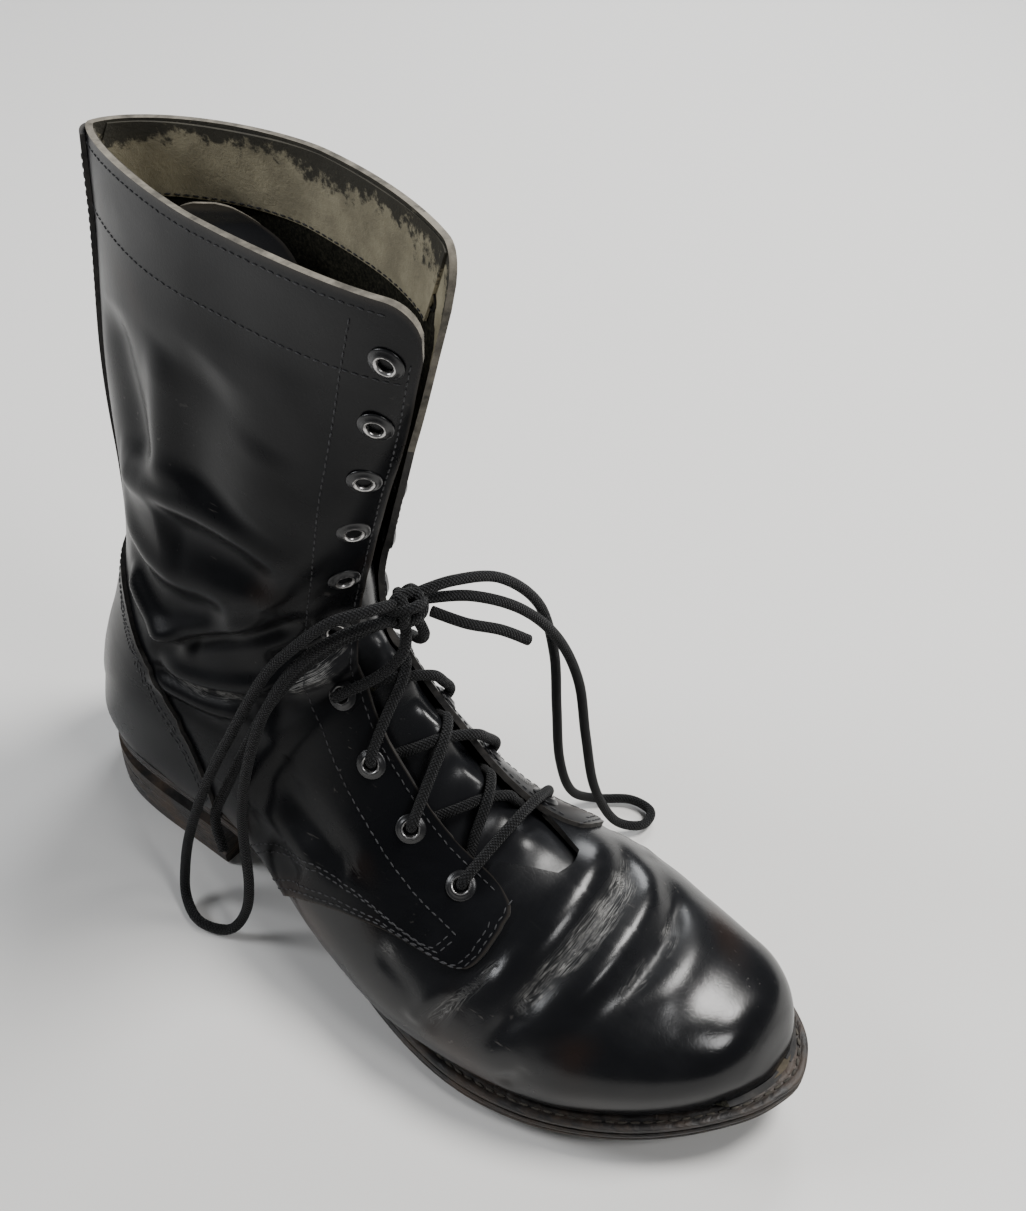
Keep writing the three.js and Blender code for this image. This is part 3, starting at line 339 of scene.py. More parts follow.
# Folds of the worn leather in millimetres: points along each, its half width and its height, which is
# below zero for a trough
FOLDS = [
    ([(22, -29, 226), (20, -29, 206), (19, -30, 188), (22, -30, 174)], 9, 2.6),
    ([(46, -30, 232), (42, -31, 212), (38, -31, 194), (36, -31, 180)], 12, -2.2),
    ([(66, -26, 214), (62, -28, 194), (56, -29, 180)], 9, 1.2),
    ([(-12, -14, 222), (-8, -18, 206), (-2, -22, 192), (3, -25, 182), (6, -27, 174)], 12, -3.4),
    ([(-14, -16, 166), (-4, -23, 163), (8, -28, 166), (18, -30, 170), (38, -31, 174), (56, -29, 172),
      (70, -25, 162)], 6.5, 3.6),
    ([(16, -30, 154), (32, -31, 158), (50, -30, 158), (64, -26, 150)], 9, -4.2),
    ([(-14, -14, 146), (0, -25, 140), (20, -30, 138), (38, -30, 142), (56, -27, 147), (70, -22, 146)],
     6, 2.4),
    ([(-6, -20, 130), (10, -28, 126), (30, -31, 128), (48, -29, 134)], 8, -3.0),
    ([(-8, -24, 120), (4, -30, 115), (18, -33, 111), (32, -34, 110)], 5, 3.2),
    ([(8, -34, 95), (22, -34, 107), (40, -32, 119), (52, -28, 126), (63, -25, 133), (74, -19, 144)],
     3.4, -4.0),
    ([(8, -34, 103), (26, -33, 116), (44, -30, 127), (60, -25, 139)], 4.5, 3.2),
    ([(12, -35, 94), (35, -34, 99), (56, -31, 107), (68, -27, 114)], 4.2, 3.0),
    ([(8, -36, 89), (34, -34, 92), (56, -32, 100)], 2.6, -2.4),
    ([(7, -36, 84), (34, -35, 86), (54, -34, 92)], 3.2, 2.0),
    ([(20, -37, 77), (44, -37, 80), (64, -36, 89)], 4.0, -2.0),
    ([(64, -28, 109), (75, -22, 116), (83, -17, 123), (85, -13, 131)], 3.8, 3.4),
    ([(60, -28, 119), (72, -22, 126), (80, -16, 135)], 3.2, -2.4),
    ([(60, -48, 48), (76, -49, 50), (92, -50, 44)], 7, -2.2),
    ([(70, -40, 78), (92, -42, 68), (112, -44, 62)], 7, -2.0),
    ([(52, -44, 62), (74, -46, 60), (100, -46, 56)], 6, 1.4),
    ([(-22, 10, 202), (-10, 20, 190), (6, 27, 183), (24, 30, 182), (44, 28, 188)], 9, -2.6),
    ([(-20, 12, 172), (-6, 22, 162), (12, 29, 158), (34, 30, 162), (58, 24, 172), (72, 16, 180)],
     6, 2.4),
    ([(-18, 14, 150), (0, 25, 139), (18, 30, 136), (40, 29, 142), (64, 22, 156)], 8, -2.8),
    ([(-12, 22, 124), (6, 30, 113), (26, 31, 109), (48, 28, 119), (66, 22, 134)], 4.5, 2.4),
    ([(-10, 28, 108), (12, 33, 98), (34, 32, 95), (56, 29, 106), (72, 22, 122)], 3.6, -2.6),
    ([(0, 33, 92), (22, 34, 84), (44, 33, 82), (64, 31, 92)], 4.0, 1.8),
    ([(16, 34, 74), (40, 34, 72), (66, 32, 82)], 5.0, -1.4),
    ([(60, 33, 60), (84, 33, 52), (108, 33, 50)], 6.0, -1.6),
    ([(174, 26, 63), (185, 12, 67), (188, -6, 67.5), (188, -22, 64), (185, -38, 57), (181, -51, 46),
      (178, -58, 35)], 3.6, -2.7),
    ([(164, 26, 62), (174, 10, 69), (178, -8, 69), (177, -26, 64), (173, -42, 55), (168, -54, 42)],
     5.5, 2.0),
    ([(184, 28, 59), (195, 12, 63.5), (199, -4, 64), (198, -22, 60), (194, -38, 51), (189, -50, 40)],
     5.0, 2.4),
    ([(196, 28, 55), (206, 12, 60), (209, -4, 59.5), (208, -20, 55), (204, -36, 46), (199, -50, 33)],
     3.2, -2.2),
    ([(206, 28, 49), (216, 10, 55), (218, -6, 54.5), (216, -22, 49)], 5.0, 1.2),
    ([(158, -60, 30), (161, -54, 42), (167, -44, 53), (170, -34, 60)], 2.8, -2.0),
    ([(150, -61, 30), (153, -56, 40), (158, -48, 50)], 3.2, 1.6),
    ([(192, -52, 36), (190, -56, 30), (187, -60, 24)], 3.0, -1.4),
    ([(150, 42, 40), (160, 38, 50), (170, 30, 58)], 3.0, -1.8),
    ([(170, 44, 36), (178, 38, 46), (186, 28, 56)], 3.0, 1.8),
    ([(128, -52, 44), (146, -54, 38), (158, -58, 30)], 3.4, -1.3),
]


# Bundles of fine cracks, in millimetres: points along each, its half width and its strength
CRACKS = [
    ([(176, 24, 64), (186, 10, 67.5), (188.5, -6, 67.5), (188, -22, 64), (185, -38, 57), (180, -52, 45)],
     5.0, 1.0),
    ([(200, 20, 59), (208, 6, 60), (209, -8, 59), (207, -22, 54), (202, -38, 45), (197, -50, 34)],
     3.6, 0.9),
    ([(156, -60, 31), (161, -54, 42), (167, -44, 53), (171, -34, 60)], 3.8, 1.0),
    ([(171, -58, 30), (173, -52, 40), (176, -45, 49)], 3.0, 0.8),
    ([(222, -36, 36), (221, -30, 42), (224, -24, 46)], 2.4, 0.7),
    ([(126, -50, 48), (140, -52, 44), (152, -55, 38)], 4.0, 0.7),
    ([(8, -34, 92), (34, -34, 92), (56, -32, 100)], 4.5, 0.6),
    ([(10, -34, 100), (26, -33, 113), (44, -30, 123), (62, -25, 136)], 3.4, 0.5),
    ([(66, -28, 110), (78, -20, 120), (85, -13, 131)], 5.0, 0.9),
    ([(20, -37, 78), (44, -37, 80), (64, -36, 88)], 3.0, 0.4),
    ([(4, 32, 98), (26, 33, 94), (48, 31, 100)], 5.0, 0.6),
]


def fold_field(points):
    """How far the folds lift each point."""
    lift = np.zeros(len(points))
    for line, width, height in FOLDS:
        fine = polyline(line, 5 * len(line))
        inside, distance, where, _ = near_part(points, fine, 3 * width)
        lift[inside] += height * np.exp(-((distance / width) ** 2)) * faded(where)
    return lift


def near_part(points, fine, reach):
    """The points within reach of a line, how far off and how far along they are, and on which side of it."""
    low, high = fine.min(0) - reach, fine.max(0) + reach
    inside = np.nonzero(((points > low) & (points < high)).all(1))[0]
    distance, where = near_line(points[inside], fine)
    at = at_run(fine, np.linspace(0, 1, len(fine)), where)
    _, y, z = fine[len(fine) // 2]
    outward = (0, y, min(z, 60) * 0.8)
    return inside, distance, where, np.sign((points[inside] - at) @ np.cross(fine[-1] - fine[0], outward))


def faded(where):
    """1 along a line, falling softly to 0 at both of its ends."""
    ends = np.clip(np.minimum(where, 1 - where) * 4.5, 0, 1)
    return ends * ends * (3 - 2 * ends)


def crack_flow(points):
    """How cracked each point is, and its place in the nearest bundle: across it, along it and which one."""
    crease = np.zeros(len(points))
    flow = np.zeros((len(points), 3))
    for number, (line, width, strength) in enumerate(CRACKS):
        fine = polyline(line, 5 * len(line))
        length = np.linalg.norm(np.diff(fine, axis=0), axis=1).sum()
        inside, distance, where, sign = near_part(points, fine, 3 * width)
        worn = strength * np.exp(-((distance / width) ** 2)) * faded(where)
        more = worn > crease[inside]
        chosen = inside[more]
        crease[chosen] = worn[more]
        bundle = np.full(len(where), 9.0 * number)
        flow[chosen] = np.column_stack([distance * sign, where * length, bundle])[more]
    return crease, flow


def slack(points):
    """Low waves of leather that has taken the foot's shape."""
    x, y, z = points.T
    waves = 0.5 * np.sin(x / 21 + 1.2) * np.sin(z / 17 + 0.4 * y / 20) + 0.3 * np.sin(x / 9.5 - z / 13)
    return waves * np.clip((z - 70) / 60, 0.15, 1)


# Helpers that make and finish the pieces


def deselect():
    for obj in bpy.context.selected_objects:
        obj.select_set(False)


def activate(obj):
    deselect()
    obj.select_set(True)
    bpy.context.view_layer.objects.active = obj


def apply_modifier(obj, kind, **settings):
    activate(obj)
    modifier = obj.modifiers.new(kind.title(), kind)
    for key, value in settings.items():
        setattr(modifier, key, value)
    bpy.ops.object.modifier_apply(modifier=modifier.name)


def set_attribute(obj, name, values):
    values = np.asarray(values, np.float32)
    vector = values.ndim == 2 and values.shape[1] == 3
    layer = obj.data.attributes.new(name, "FLOAT_VECTOR" if vector else "FLOAT", "POINT")
    layer.data.foreach_set("vector" if vector else "value", values.reshape(-1))


def smooth(obj, degrees):
    activate(obj)
    bpy.ops.object.shade_smooth_by_angle(angle=math.radians(degrees))


def face_outwards(obj):
    activate(obj)
    bpy.ops.object.mode_set(mode="EDIT")
    bpy.ops.mesh.select_all(action="SELECT")
    bpy.ops.mesh.normals_make_consistent(inside=False)
    bpy.ops.object.mode_set(mode="OBJECT")


def sheet(name, points, attributes=None):
    """A grid laid out as a sheet of leather, its face outwards, points in millimetres."""
    rows, columns, _ = points.shape
    deselect()
    bpy.ops.mesh.primitive_grid_add(x_subdivisions=columns - 1, y_subdivisions=rows - 1, size=1)
    obj = bpy.context.active_object
    obj.name = name
    obj.data.vertices.foreach_set("co", (points.reshape(-1, 3) * MM).reshape(-1))
    obj.data.update()
    for key, values in (attributes or {}).items():
        set_attribute(obj, key, values if key == "flow" else values.reshape(-1))
    return obj


def thicken(obj, thickness, inside=0, rim=0):
    """Gives a sheet its thickness, inwards, with materials for its inside and its cut edge."""
    apply_modifier(obj, "SOLIDIFY", thickness=thickness * MM, offset=-1, use_even_offset=False,
                   material_offset=inside, material_offset_rim=rim)
    smooth(obj, 50)


def join(objects, name, merge=None):
    deselect()
    for obj in objects:
        obj.select_set(True)
    bpy.context.view_layer.objects.active = objects[0]
    if len(objects) > 1:
        bpy.ops.object.join()
    joined = bpy.context.view_layer.objects.active
    joined.name = name
    if merge:
        bpy.ops.object.mode_set(mode="EDIT")
        bpy.ops.mesh.select_all(action="SELECT")
        bpy.ops.mesh.remove_doubles(threshold=merge * MM)
        bpy.ops.object.mode_set(mode="OBJECT")
    return joined


def finish_piece(obj, nodes=()):
    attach(obj, "root")
    if nodes:
        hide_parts(*nodes)


def mesh_piece(name, vertices, faces, uvs=None):
    mesh = bpy.data.meshes.new(name)
    mesh.from_pydata([tuple(v) for v in vertices], [], [tuple(int(i) for i in f) for f in faces])
    if uvs is not None:
        layer = mesh.uv_layers.new(name="along")
        layer.data.foreach_set("uv", np.asarray(uvs, np.float32).reshape(-1))
    obj = bpy.data.objects.new(name, mesh)
    bpy.context.collection.objects.link(obj)
    return obj


def loft(name, rings):
    """A closed solid through rings of equal length, in millimetres."""
    rings = np.asarray(rings, float)
    count, n, _ = rings.shape
    faces = []
    for i in range(count - 1):
        for j in range(n):
            a, b = i * n + j, i * n + (j + 1) % n
            faces.append((a, b, b + n, a + n))
    faces.append(tuple(range(n - 1, -1, -1)))
    faces.append(tuple(range((count - 1) * n, count * n)))
    obj = mesh_piece(name, rings.reshape(-1, 3) * MM, faces)
    face_outwards(obj)
    return obj


def tube(name, path, diameter, sides=12, step=1.2):
    """A round cord along a path in millimetres, with a UV map that runs along it in diameters."""
    path = np.asarray(path, float)
    fine = smooth_rows(path, np.linspace(0, len(path) - 1, 40 * len(path)))
    run = run_along(fine)
    count = max(int(run[-1] / step), 4)
    at = np.linspace(0, run[-1], count + 1)
    centre = at_run(fine, run, at)
    tangent = np.gradient(centre, axis=0)
    tangent /= np.linalg.norm(tangent, axis=1, keepdims=True)
    side = np.cross(tangent[0], (0.3, 0.9, 0.2))
    frames = []
    for t in tangent:
        side = side - t * (side @ t)
        side /= np.linalg.norm(side)
        frames.append((side, np.cross(t, side)))
    turn = np.linspace(0, 2 * math.pi, sides, endpoint=False)
    radius = diameter / 2
    vertices = []
    for c, (a, b) in zip(centre, frames):
        for angle in turn:
            vertices.append(c + radius * (math.cos(angle) * a + math.sin(angle) * b))
    faces, uvs = [], []
    for i in range(count):
        for j in range(sides):
            k = (j + 1) % sides
            faces.append((i * sides + j, i * sides + k, (i + 1) * sides + k, (i + 1) * sides + j))
            u0, u1 = j / sides, (j + 1) / sides
            v0, v1 = at[i] / diameter, at[i + 1] / diameter
            uvs += [(u0, v0), (u1, v0), (u1, v1), (u0, v1)]
    for base, order in ((0, range(sides - 1, -1, -1)), (count * sides, range(sides))):
        faces.append(tuple(base + j for j in order))
        uvs += [(0.5, at[0] if base == 0 else at[-1])] * sides
    obj = mesh_piece(name, np.array(vertices) * MM, faces, uvs)
    for polygon in obj.data.polygons:
        polygon.use_smooth = len(polygon.vertices) == 4
    return obj


# Materials


class Nodes:
    """Adds nodes to a tree and links them, one line each."""

    def __init__(self, tree):
        self.tree = tree

    def add(self, kind, inputs=None, **settings):
        node = self.tree.nodes.new(kind)
        for key, value in settings.items():
            setattr(node, key, value)
        for key, value in (inputs or {}).items():
            socket = node.inputs[key]
            if isinstance(value, bpy.types.NodeSocket):
                self.tree.links.new(value, socket)
            else:
                socket.default_value = value
        return node

    def math(self, operation, a, b=0.0, clamp=False):
        return self.add("ShaderNodeMath", {0: a, 1: b}, operation=operation, use_clamp=clamp).outputs[0]

    def noise(self, vector, scale, detail=3.0, roughness=0.5, distortion=0.0):
        inputs = {"Vector": vector, "Scale": scale, "Detail": detail, "Roughness": roughness,
                  "Distortion": distortion}
        return self.add("ShaderNodeTexNoise", inputs).outputs["Fac"]

    def ramp(self, value, low, high):
        node = self.add("ShaderNodeMapRange", {"Value": value, "From Min": low, "From Max": high})
        node.interpolation_type = "SMOOTHSTEP"
        return node.outputs["Result"]

    def mix(self, factor, a, b):
        node = self.add("ShaderNodeMix", data_type="RGBA")
        for index, value in ((0, factor), (6, a), (7, b)):
            if isinstance(value, bpy.types.NodeSocket):
                self.tree.links.new(value, node.inputs[index])
            elif index:
                node.inputs[index].default_value = (*value, 1) if len(value) == 3 else value
            else:
                node.inputs[index].default_value = value
        return node.outputs[2]


def group_tree(name, inputs, outputs):
    tree = bpy.data.node_groups.new(name, "ShaderNodeTree")
    for socket, kind, default in inputs:
        item = tree.interface.new_socket(name=socket, in_out="INPUT", socket_type=kind)
        if default is not None:
            item.default_value = default
    for socket, kind in outputs:
        tree.interface.new_socket(name=socket, in_out="OUTPUT", socket_type=kind)
    nodes = Nodes(tree)
    return tree, nodes, nodes.add("NodeGroupInput"), nodes.add("NodeGroupOutput")


def make_grain_group():
    """Fine pores of leather, and cracks that run along its creases."""
    tree, n, given, out = group_tree(
        "leather grain",
        [("Vector", "NodeSocketVector", None), ("Flow", "NodeSocketVector", None),
         ("Crease", "NodeSocketFloat", 0.0)],
        [("Height", "NodeSocketFloat"), ("Cracks", "NodeSocketFloat"), ("Smudge", "NodeSocketFloat")])
    place, crease = given.outputs["Vector"], given.outputs["Crease"]
    pores = n.noise(place, 900.0, 2.0, 0.6)
    cells = n.add("ShaderNodeTexVoronoi", {"Vector": place, "Scale": 520.0}, feature="DISTANCE_TO_EDGE")
    cells = n.ramp(cells.outputs["Distance"], 0.0, 0.12)
    bundle = n.add("ShaderNodeMapping", {"Vector": given.outputs["Flow"], "Scale": (1.9, 0.06, 1.0)})
    strands = n.noise(bundle.outputs[0], 1.0, 3.0, 0.6)
    strands = n.ramp(n.math("ABSOLUTE", n.math("SUBTRACT", strands, 0.5)), 0.055, 0.0)
    patches = n.ramp(n.noise(place, 75.0, 3.0, 0.6), 0.38, 0.6)
    where = n.math("MULTIPLY", n.ramp(crease, 0.22, 0.85), patches)
    cracks = n.math("MULTIPLY", strands, where, True)
    smudge = n.noise(place, 22.0, 5.0, 0.6, 0.6)
    fine = n.math("ADD", n.math("MULTIPLY", pores, 0.08), n.math("MULTIPLY", cells, 0.05))
    height = n.math("SUBTRACT", fine, n.math("MULTIPLY", cracks, 1.2))
    n.tree.links.new(height, out.inputs["Height"])
    n.tree.links.new(cracks, out.inputs["Cracks"])
    n.tree.links.new(smudge, out.inputs["Smudge"])
    return tree


def make_scuff_group():
    """Short scratches and rubbed spots."""
    tree, n, given, out = group_tree(
        "scuffs", [("Vector", "NodeSocketVector", None), ("Amount", "NodeSocketFloat", 0.5)],
        [("Mask", "NodeSocketFloat")])
    place = given.outputs["Vector"]
    streaks = n.add("ShaderNodeMapping", {"Vector": place, "Rotation": (0.3, 0.5, 0.7), "Scale": (1, 9, 9)})
    scratch = n.ramp(n.noise(streaks.outputs[0], 60.0, 3.0, 0.7), 0.66, 0.74)
    spots = n.ramp(n.noise(place, 260.0, 2.0, 0.7), 0.68, 0.76)
    patches = n.ramp(n.noise(place, 18.0, 2.0, 0.5), 0.45, 0.7)
    both = n.math("MULTIPLY", n.math("MAXIMUM", scratch, spots), patches)
    n.tree.links.new(n.math("MULTIPLY", both, given.outputs["Amount"], True), out.inputs["Mask"])
    return tree


def new_material(name):
    material = bpy.data.materials.new(name)
    material.use_nodes = True
    tree = material.node_tree
    tree.nodes.clear()
    n = Nodes(tree)
    shader = n.add("ShaderNodeBsdfPrincipled")
    n.add("ShaderNodeOutputMaterial", {"Surface": shader.outputs[0]})
    place = n.add("ShaderNodeTexCoord").outputs["Object"]
    return material, n, shader, place


def shade(colour, factor):
    return tuple(value * factor for value in colour)


def attribute(n, name):
    return n.add("ShaderNodeAttribute", attribute_name=name).outputs["Fac"]


def bump(n, shader, height, distance, strength=1.0):
    node = n.add("ShaderNodeBump", {"Height": height, "Distance": distance, "Strength": strength})
    n.tree.links.new(node.outputs[0], shader.inputs["Normal"])


def polished_leather(name, colour, gloss, scuffs, shine=0.11):
    """Black leather with a wax shine, duller and greyer in its creases, with brown patches painted in as a
    warm reflection.
    """
    material, n, shader, place = new_material(name)
    crease = attribute(n, "crease")
    rim = attribute(n, "rim")
    flow = n.add("ShaderNodeAttribute", attribute_name="flow").outputs["Vector"]
    grain = n.add("ShaderNodeGroup", {"Vector": place, "Flow": flow, "Crease": crease},
                  node_tree=bpy.data.node_groups["leather grain"])
    scuff = n.add("ShaderNodeGroup", {"Vector": place, "Amount": scuffs},
                  node_tree=bpy.data.node_groups["scuffs"])
    smudge = grain.outputs["Smudge"]
    base = n.mix(n.ramp(smudge, 0.3, 0.75), colour, tuple(c * 1.6 + 0.001 for c in colour))
    greyed = n.mix(n.math("MULTIPLY", grain.outputs["Cracks"], 0.92), base, (0.34, 0.335, 0.32))
    dusty = n.mix(n.math("MULTIPLY", crease, 0.1), greyed, (0.09, 0.09, 0.092))
    rubbed = n.mix(scuff.outputs["Mask"], dusty, (0.13, 0.12, 0.11))
    worn = n.mix(n.math("MULTIPLY", n.ramp(rim, 0.3, 1.0), 0.35), rubbed, (0.07, 0.06, 0.05))
    # painted reflection: brown patches at random stand in for warm surroundings reflected in the polish
    warm_reflection_mask = n.math("MULTIPLY", n.ramp(n.noise(place, 15.0, 2.0, 0.5), 0.6, 0.76), 0.5)
    with_warm_reflection = n.mix(warm_reflection_mask, worn, (0.042, 0.019, 0.009))
    n.tree.links.new(with_warm_reflection, shader.inputs["Base Color"])
    rough = n.math("ADD", n.math("MULTIPLY", n.ramp(smudge, 0.25, 0.8), 0.14), gloss)
    rough = n.math("ADD", rough, n.math("MULTIPLY", crease, 0.16))
    rough = n.math("ADD", rough, n.math("MULTIPLY", scuff.outputs["Mask"], 0.3), True)
    n.tree.links.new(rough, shader.inputs["Roughness"])
    blotch = n.ramp(n.noise(place, 9.0, 3.0, 0.55), 0.35, 0.65)
    blotched = n.math("ADD", 0.55, n.math("MULTIPLY", blotch, 0.9))
    n.tree.links.new(n.math("MULTIPLY", blotched, shine), shader.inputs["Specular IOR Level"])
    bump(n, shader, grain.outputs["Height"], 0.00022, 0.6)
    return material


def plain_material(name, low, high, scale, roughness, specks=None):
    """A rough or cut surface: two tones in a noise, with its own relief."""
    material, n, shader, place = new_material(name)
    tone = n.noise(place, scale, 6.0, 0.62)
    patch = n.noise(place, 30.0, 3.0)
    mixed = n.math("ADD", n.math("MULTIPLY", tone, 0.6), n.math("MULTIPLY", patch, 0.4))
    colour = n.mix(n.ramp(mixed, 0.34, 0.66), low, high)
    if specks:
        spots = n.ramp(n.noise(place, scale * 0.6, 3.0, 0.7), 0.6, 0.7)
        colour = n.mix(n.math("MULTIPLY", spots, 0.7), colour, specks)
    n.tree.links.new(colour, shader.inputs["Base Color"])
    rough = n.math("ADD", n.math("MULTIPLY", tone, 0.2), roughness - 0.1, True)
    n.tree.links.new(rough, shader.inputs["Roughness"])
    bump(n, shader, tone, 0.0004)
    return material


def suede_material(colours):
    """The shaft's inside: light suede with black rubbed stains under the collar, dark rough leather below."""
    material, n, shader, place = new_material("inside leather")
    band = attribute(n, "band")
    fibre = n.noise(place, 900.0, 4.0, 0.7)
    cloud = n.noise(place, 90.0, 3.0, 0.6)
    patch = n.noise(place, 28.0, 3.0, 0.55)
    light = n.mix(n.ramp(cloud, 0.3, 0.7), colours.suede, shade(colours.suede, 0.68))
    ragged = n.math("ADD", n.math("MULTIPLY", n.math("SUBTRACT", patch, 0.5), 1.3),
                    n.math("MULTIPLY", n.math("SUBTRACT", n.noise(place, 260.0, 4.0, 0.7), 0.5), 0.9))
    stain = n.ramp(n.math("ADD", band, ragged), 1.72, 1.9)
    stained = n.mix(n.math("MULTIPLY", stain, 0.88), light, (0.028, 0.028, 0.028))
    dark = n.mix(n.ramp(fibre, 0.35, 0.7), (0.008, 0.008, 0.0065), (0.034, 0.033, 0.024))
    colour = n.mix(n.ramp(band, 0.45, 0.55), dark, stained)
    speck = n.mix(n.math("MULTIPLY", n.ramp(fibre, 0.58, 0.75), 0.3), colour, (0.085, 0.08, 0.06))
    n.tree.links.new(speck, shader.inputs["Base Color"])
    shader.inputs["Roughness"].default_value = 0.95
    shader.inputs["Specular IOR Level"].default_value = 0.12
    bump(n, shader, n.math("ADD", fibre, cloud), 0.0004)
    return material


def braid_material(colour):
    """Round black braid: crossed strands along the cord's own UV map, with painted shade between the strands
    and painted highlights on their tops.
    """
    material, n, shader, place = new_material("lace braid")
    uv = n.add("ShaderNodeTexCoord").outputs["UV"]
    split = n.add("ShaderNodeSeparateXYZ", {"Vector": uv})
    u, v = split.outputs[0], split.outputs[1]
    strands, pitch = 8.0, 1.35
    one = n.math("ADD", n.math("MULTIPLY", u, strands), n.math("MULTIPLY", v, strands / 2 / pitch))
    two = n.math("SUBTRACT", n.math("MULTIPLY", u, strands), n.math("MULTIPLY", v, strands / 2 / pitch))
    ridge_one = n.math("ABSOLUTE", n.math("SINE", n.math("MULTIPLY", one, math.pi)))
    ridge_two = n.math("ABSOLUTE", n.math("SINE", n.math("MULTIPLY", two, math.pi)))
    weave = n.math("MULTIPLY", ridge_one, ridge_two)
    fuzz = n.noise(place, 1500.0, 2.0)
    # painted shade in the grooves between strands and painted highlight on the strand tops
    light = n.mix(n.ramp(weave, 0.1, 0.9), shade(colour, 0.25), shade(colour, 1.9))
    dusty = n.mix(n.math("MULTIPLY", n.ramp(fuzz, 0.55, 0.75), 0.22), light, (0.05, 0.055, 0.062))
    n.tree.links.new(dusty, shader.inputs["Base Color"])
    shader.inputs["Roughness"].default_value = 0.8
    shader.inputs["Specular IOR Level"].default_value = 0.25
    shader.inputs["Sheen Weight"].default_value = 0.06
    shader.inputs["Sheen Roughness"].default_value = 0.4
    bump(n, shader, n.math("ADD", weave, n.math("MULTIPLY", fuzz, 0.3)), 0.0006)
    return material


def eyelet_material(colours):
    """Black enamel, worn to bright steel round the bore."""
    material, n, shader, place = new_material("worn enamel")
    wear = attribute(n, "wear")
    chips = n.noise(place, 700.0, 3.0, 0.6)
    bare = n.ramp(n.math("ADD", wear, n.math("MULTIPLY", n.math("SUBTRACT", chips, 0.5), 0.7)), 0.45, 0.62)
    n.tree.links.new(n.mix(bare, colours.enamel, colours.steel), shader.inputs["Base Color"])
    n.tree.links.new(bare, shader.inputs["Metallic"])
    n.tree.links.new(n.math("ADD", 0.22, n.math("MULTIPLY", chips, 0.16)), shader.inputs["Roughness"])
    bump(n, shader, chips, 0.0001, 0.5)
    return material


def edge_material(name, colours, brown):
    """The sole's side: black dressing with fine lines along it, brown where it is rubbed low down."""
    material, n, shader, place = new_material(name)
    flat = n.add("ShaderNodeMapping", {"Vector": place, "Scale": (1, 1, 14)}).outputs[0]
    layers = n.noise(flat, 110.0, 3.0, 0.6)
    grime = n.noise(place, 70.0, 5.0, 0.65)
    black = n.mix(n.ramp(layers, 0.35, 0.7), colours.sole, tuple(c * 1.8 + 0.01 for c in colours.sole))
    rub = n.math("MULTIPLY", n.ramp(n.math("ADD", n.math("MULTIPLY", grime, 0.7),
                                           n.math("MULTIPLY", layers, 0.3)), 0.42, 0.66), brown)
    n.tree.links.new(n.mix(rub, black, colours.sole_wear), shader.inputs["Base Color"])
    n.tree.links.new(n.math("ADD", 0.38, n.math("MULTIPLY", grime, 0.35)), shader.inputs["Roughness"])
    bump(n, shader, n.math("ADD", layers, n.math("MULTIPLY", grime, 0.8)), 0.0009)
    return material


# Sizes and colours


class BootSizes(bpy.types.PropertyGroup):
    """Sizes that a maker would change"""

    leather: FloatProperty(name="Leather", description="Thickness of the upper, mm", default=2.2,
                           min=1.0, max=4.0)
    lace: FloatProperty(name="Lace", description="Diameter of the round lace, mm", default=3.8,
                        min=2.0, max=6.0)
    stitch: FloatProperty(name="Stitch", description="Length of one stitch, mm", default=2.3,
                          min=1.0, max=5.0)
    pitch: FloatProperty(name="Pitch", description="From stitch to stitch, mm", default=3.1,
                         min=1.5, max=6.0)
    across: IntProperty(name="Detail", description="Grid lines across each side of the leather", default=100,
                        min=20, max=140)


def colour_property(name, description, default):
    return FloatVectorProperty(name=name, description=description, subtype="COLOR", size=3, default=default,
                               min=0, max=1)


class BootColours(bpy.types.PropertyGroup):
    """Colours of the finishes"""

    polish: colour_property("Polish", "Black polished leather", (0.004, 0.0042, 0.005))
    raw: colour_property("Raw edge", "Cut edge of the leather", (0.27, 0.245, 0.2))
    suede: colour_property("Suede", "Band inside the collar", (0.38, 0.345, 0.25))
    thread: colour_property("Thread", "Sewing thread", (0.018, 0.018, 0.02))
    welt_thread: colour_property("Welt thread", "Thick thread on the welt", (0.09, 0.08, 0.065))
    lace: colour_property("Lace", "Black braid", (0.005, 0.0052, 0.006))
    sole: colour_property("Sole", "Black of the sole's side", (0.012, 0.011, 0.011))
    sole_wear: colour_property("Sole wear", "Brown where the sole's side is rubbed", (0.075, 0.048, 0.03))
    enamel: colour_property("Enamel", "Enamel of the eyelets", (0.01, 0.01, 0.011))
    steel: colour_property("Steel", "Worn steel of the eyelets", (0.5, 0.49, 0.48))
    floor: colour_property("Floor", "Floor and backdrop", (0.82, 0.81, 0.79))


def sizes():
    return bpy.context.scene.boot_sizes


def colours():
    return bpy.context.scene.boot_colours


def material(name):
    return bpy.data.materials[name]


def dress(obj, *names):
    obj.data.materials.clear()
    for name in names:
        obj.data.materials.append(material(name))


# The photograph's camera, in millimetres and degrees
CAMERA_AZIMUTH = 32.75
CAMERA_ELEVATION = 43.42
CAMERA_ROLL = 5.25
CAMERA_TARGET = (38.8, 152.59, 0.0)
CAMERA_DISTANCE = 697.67
CAMERA_LENS = 44.43


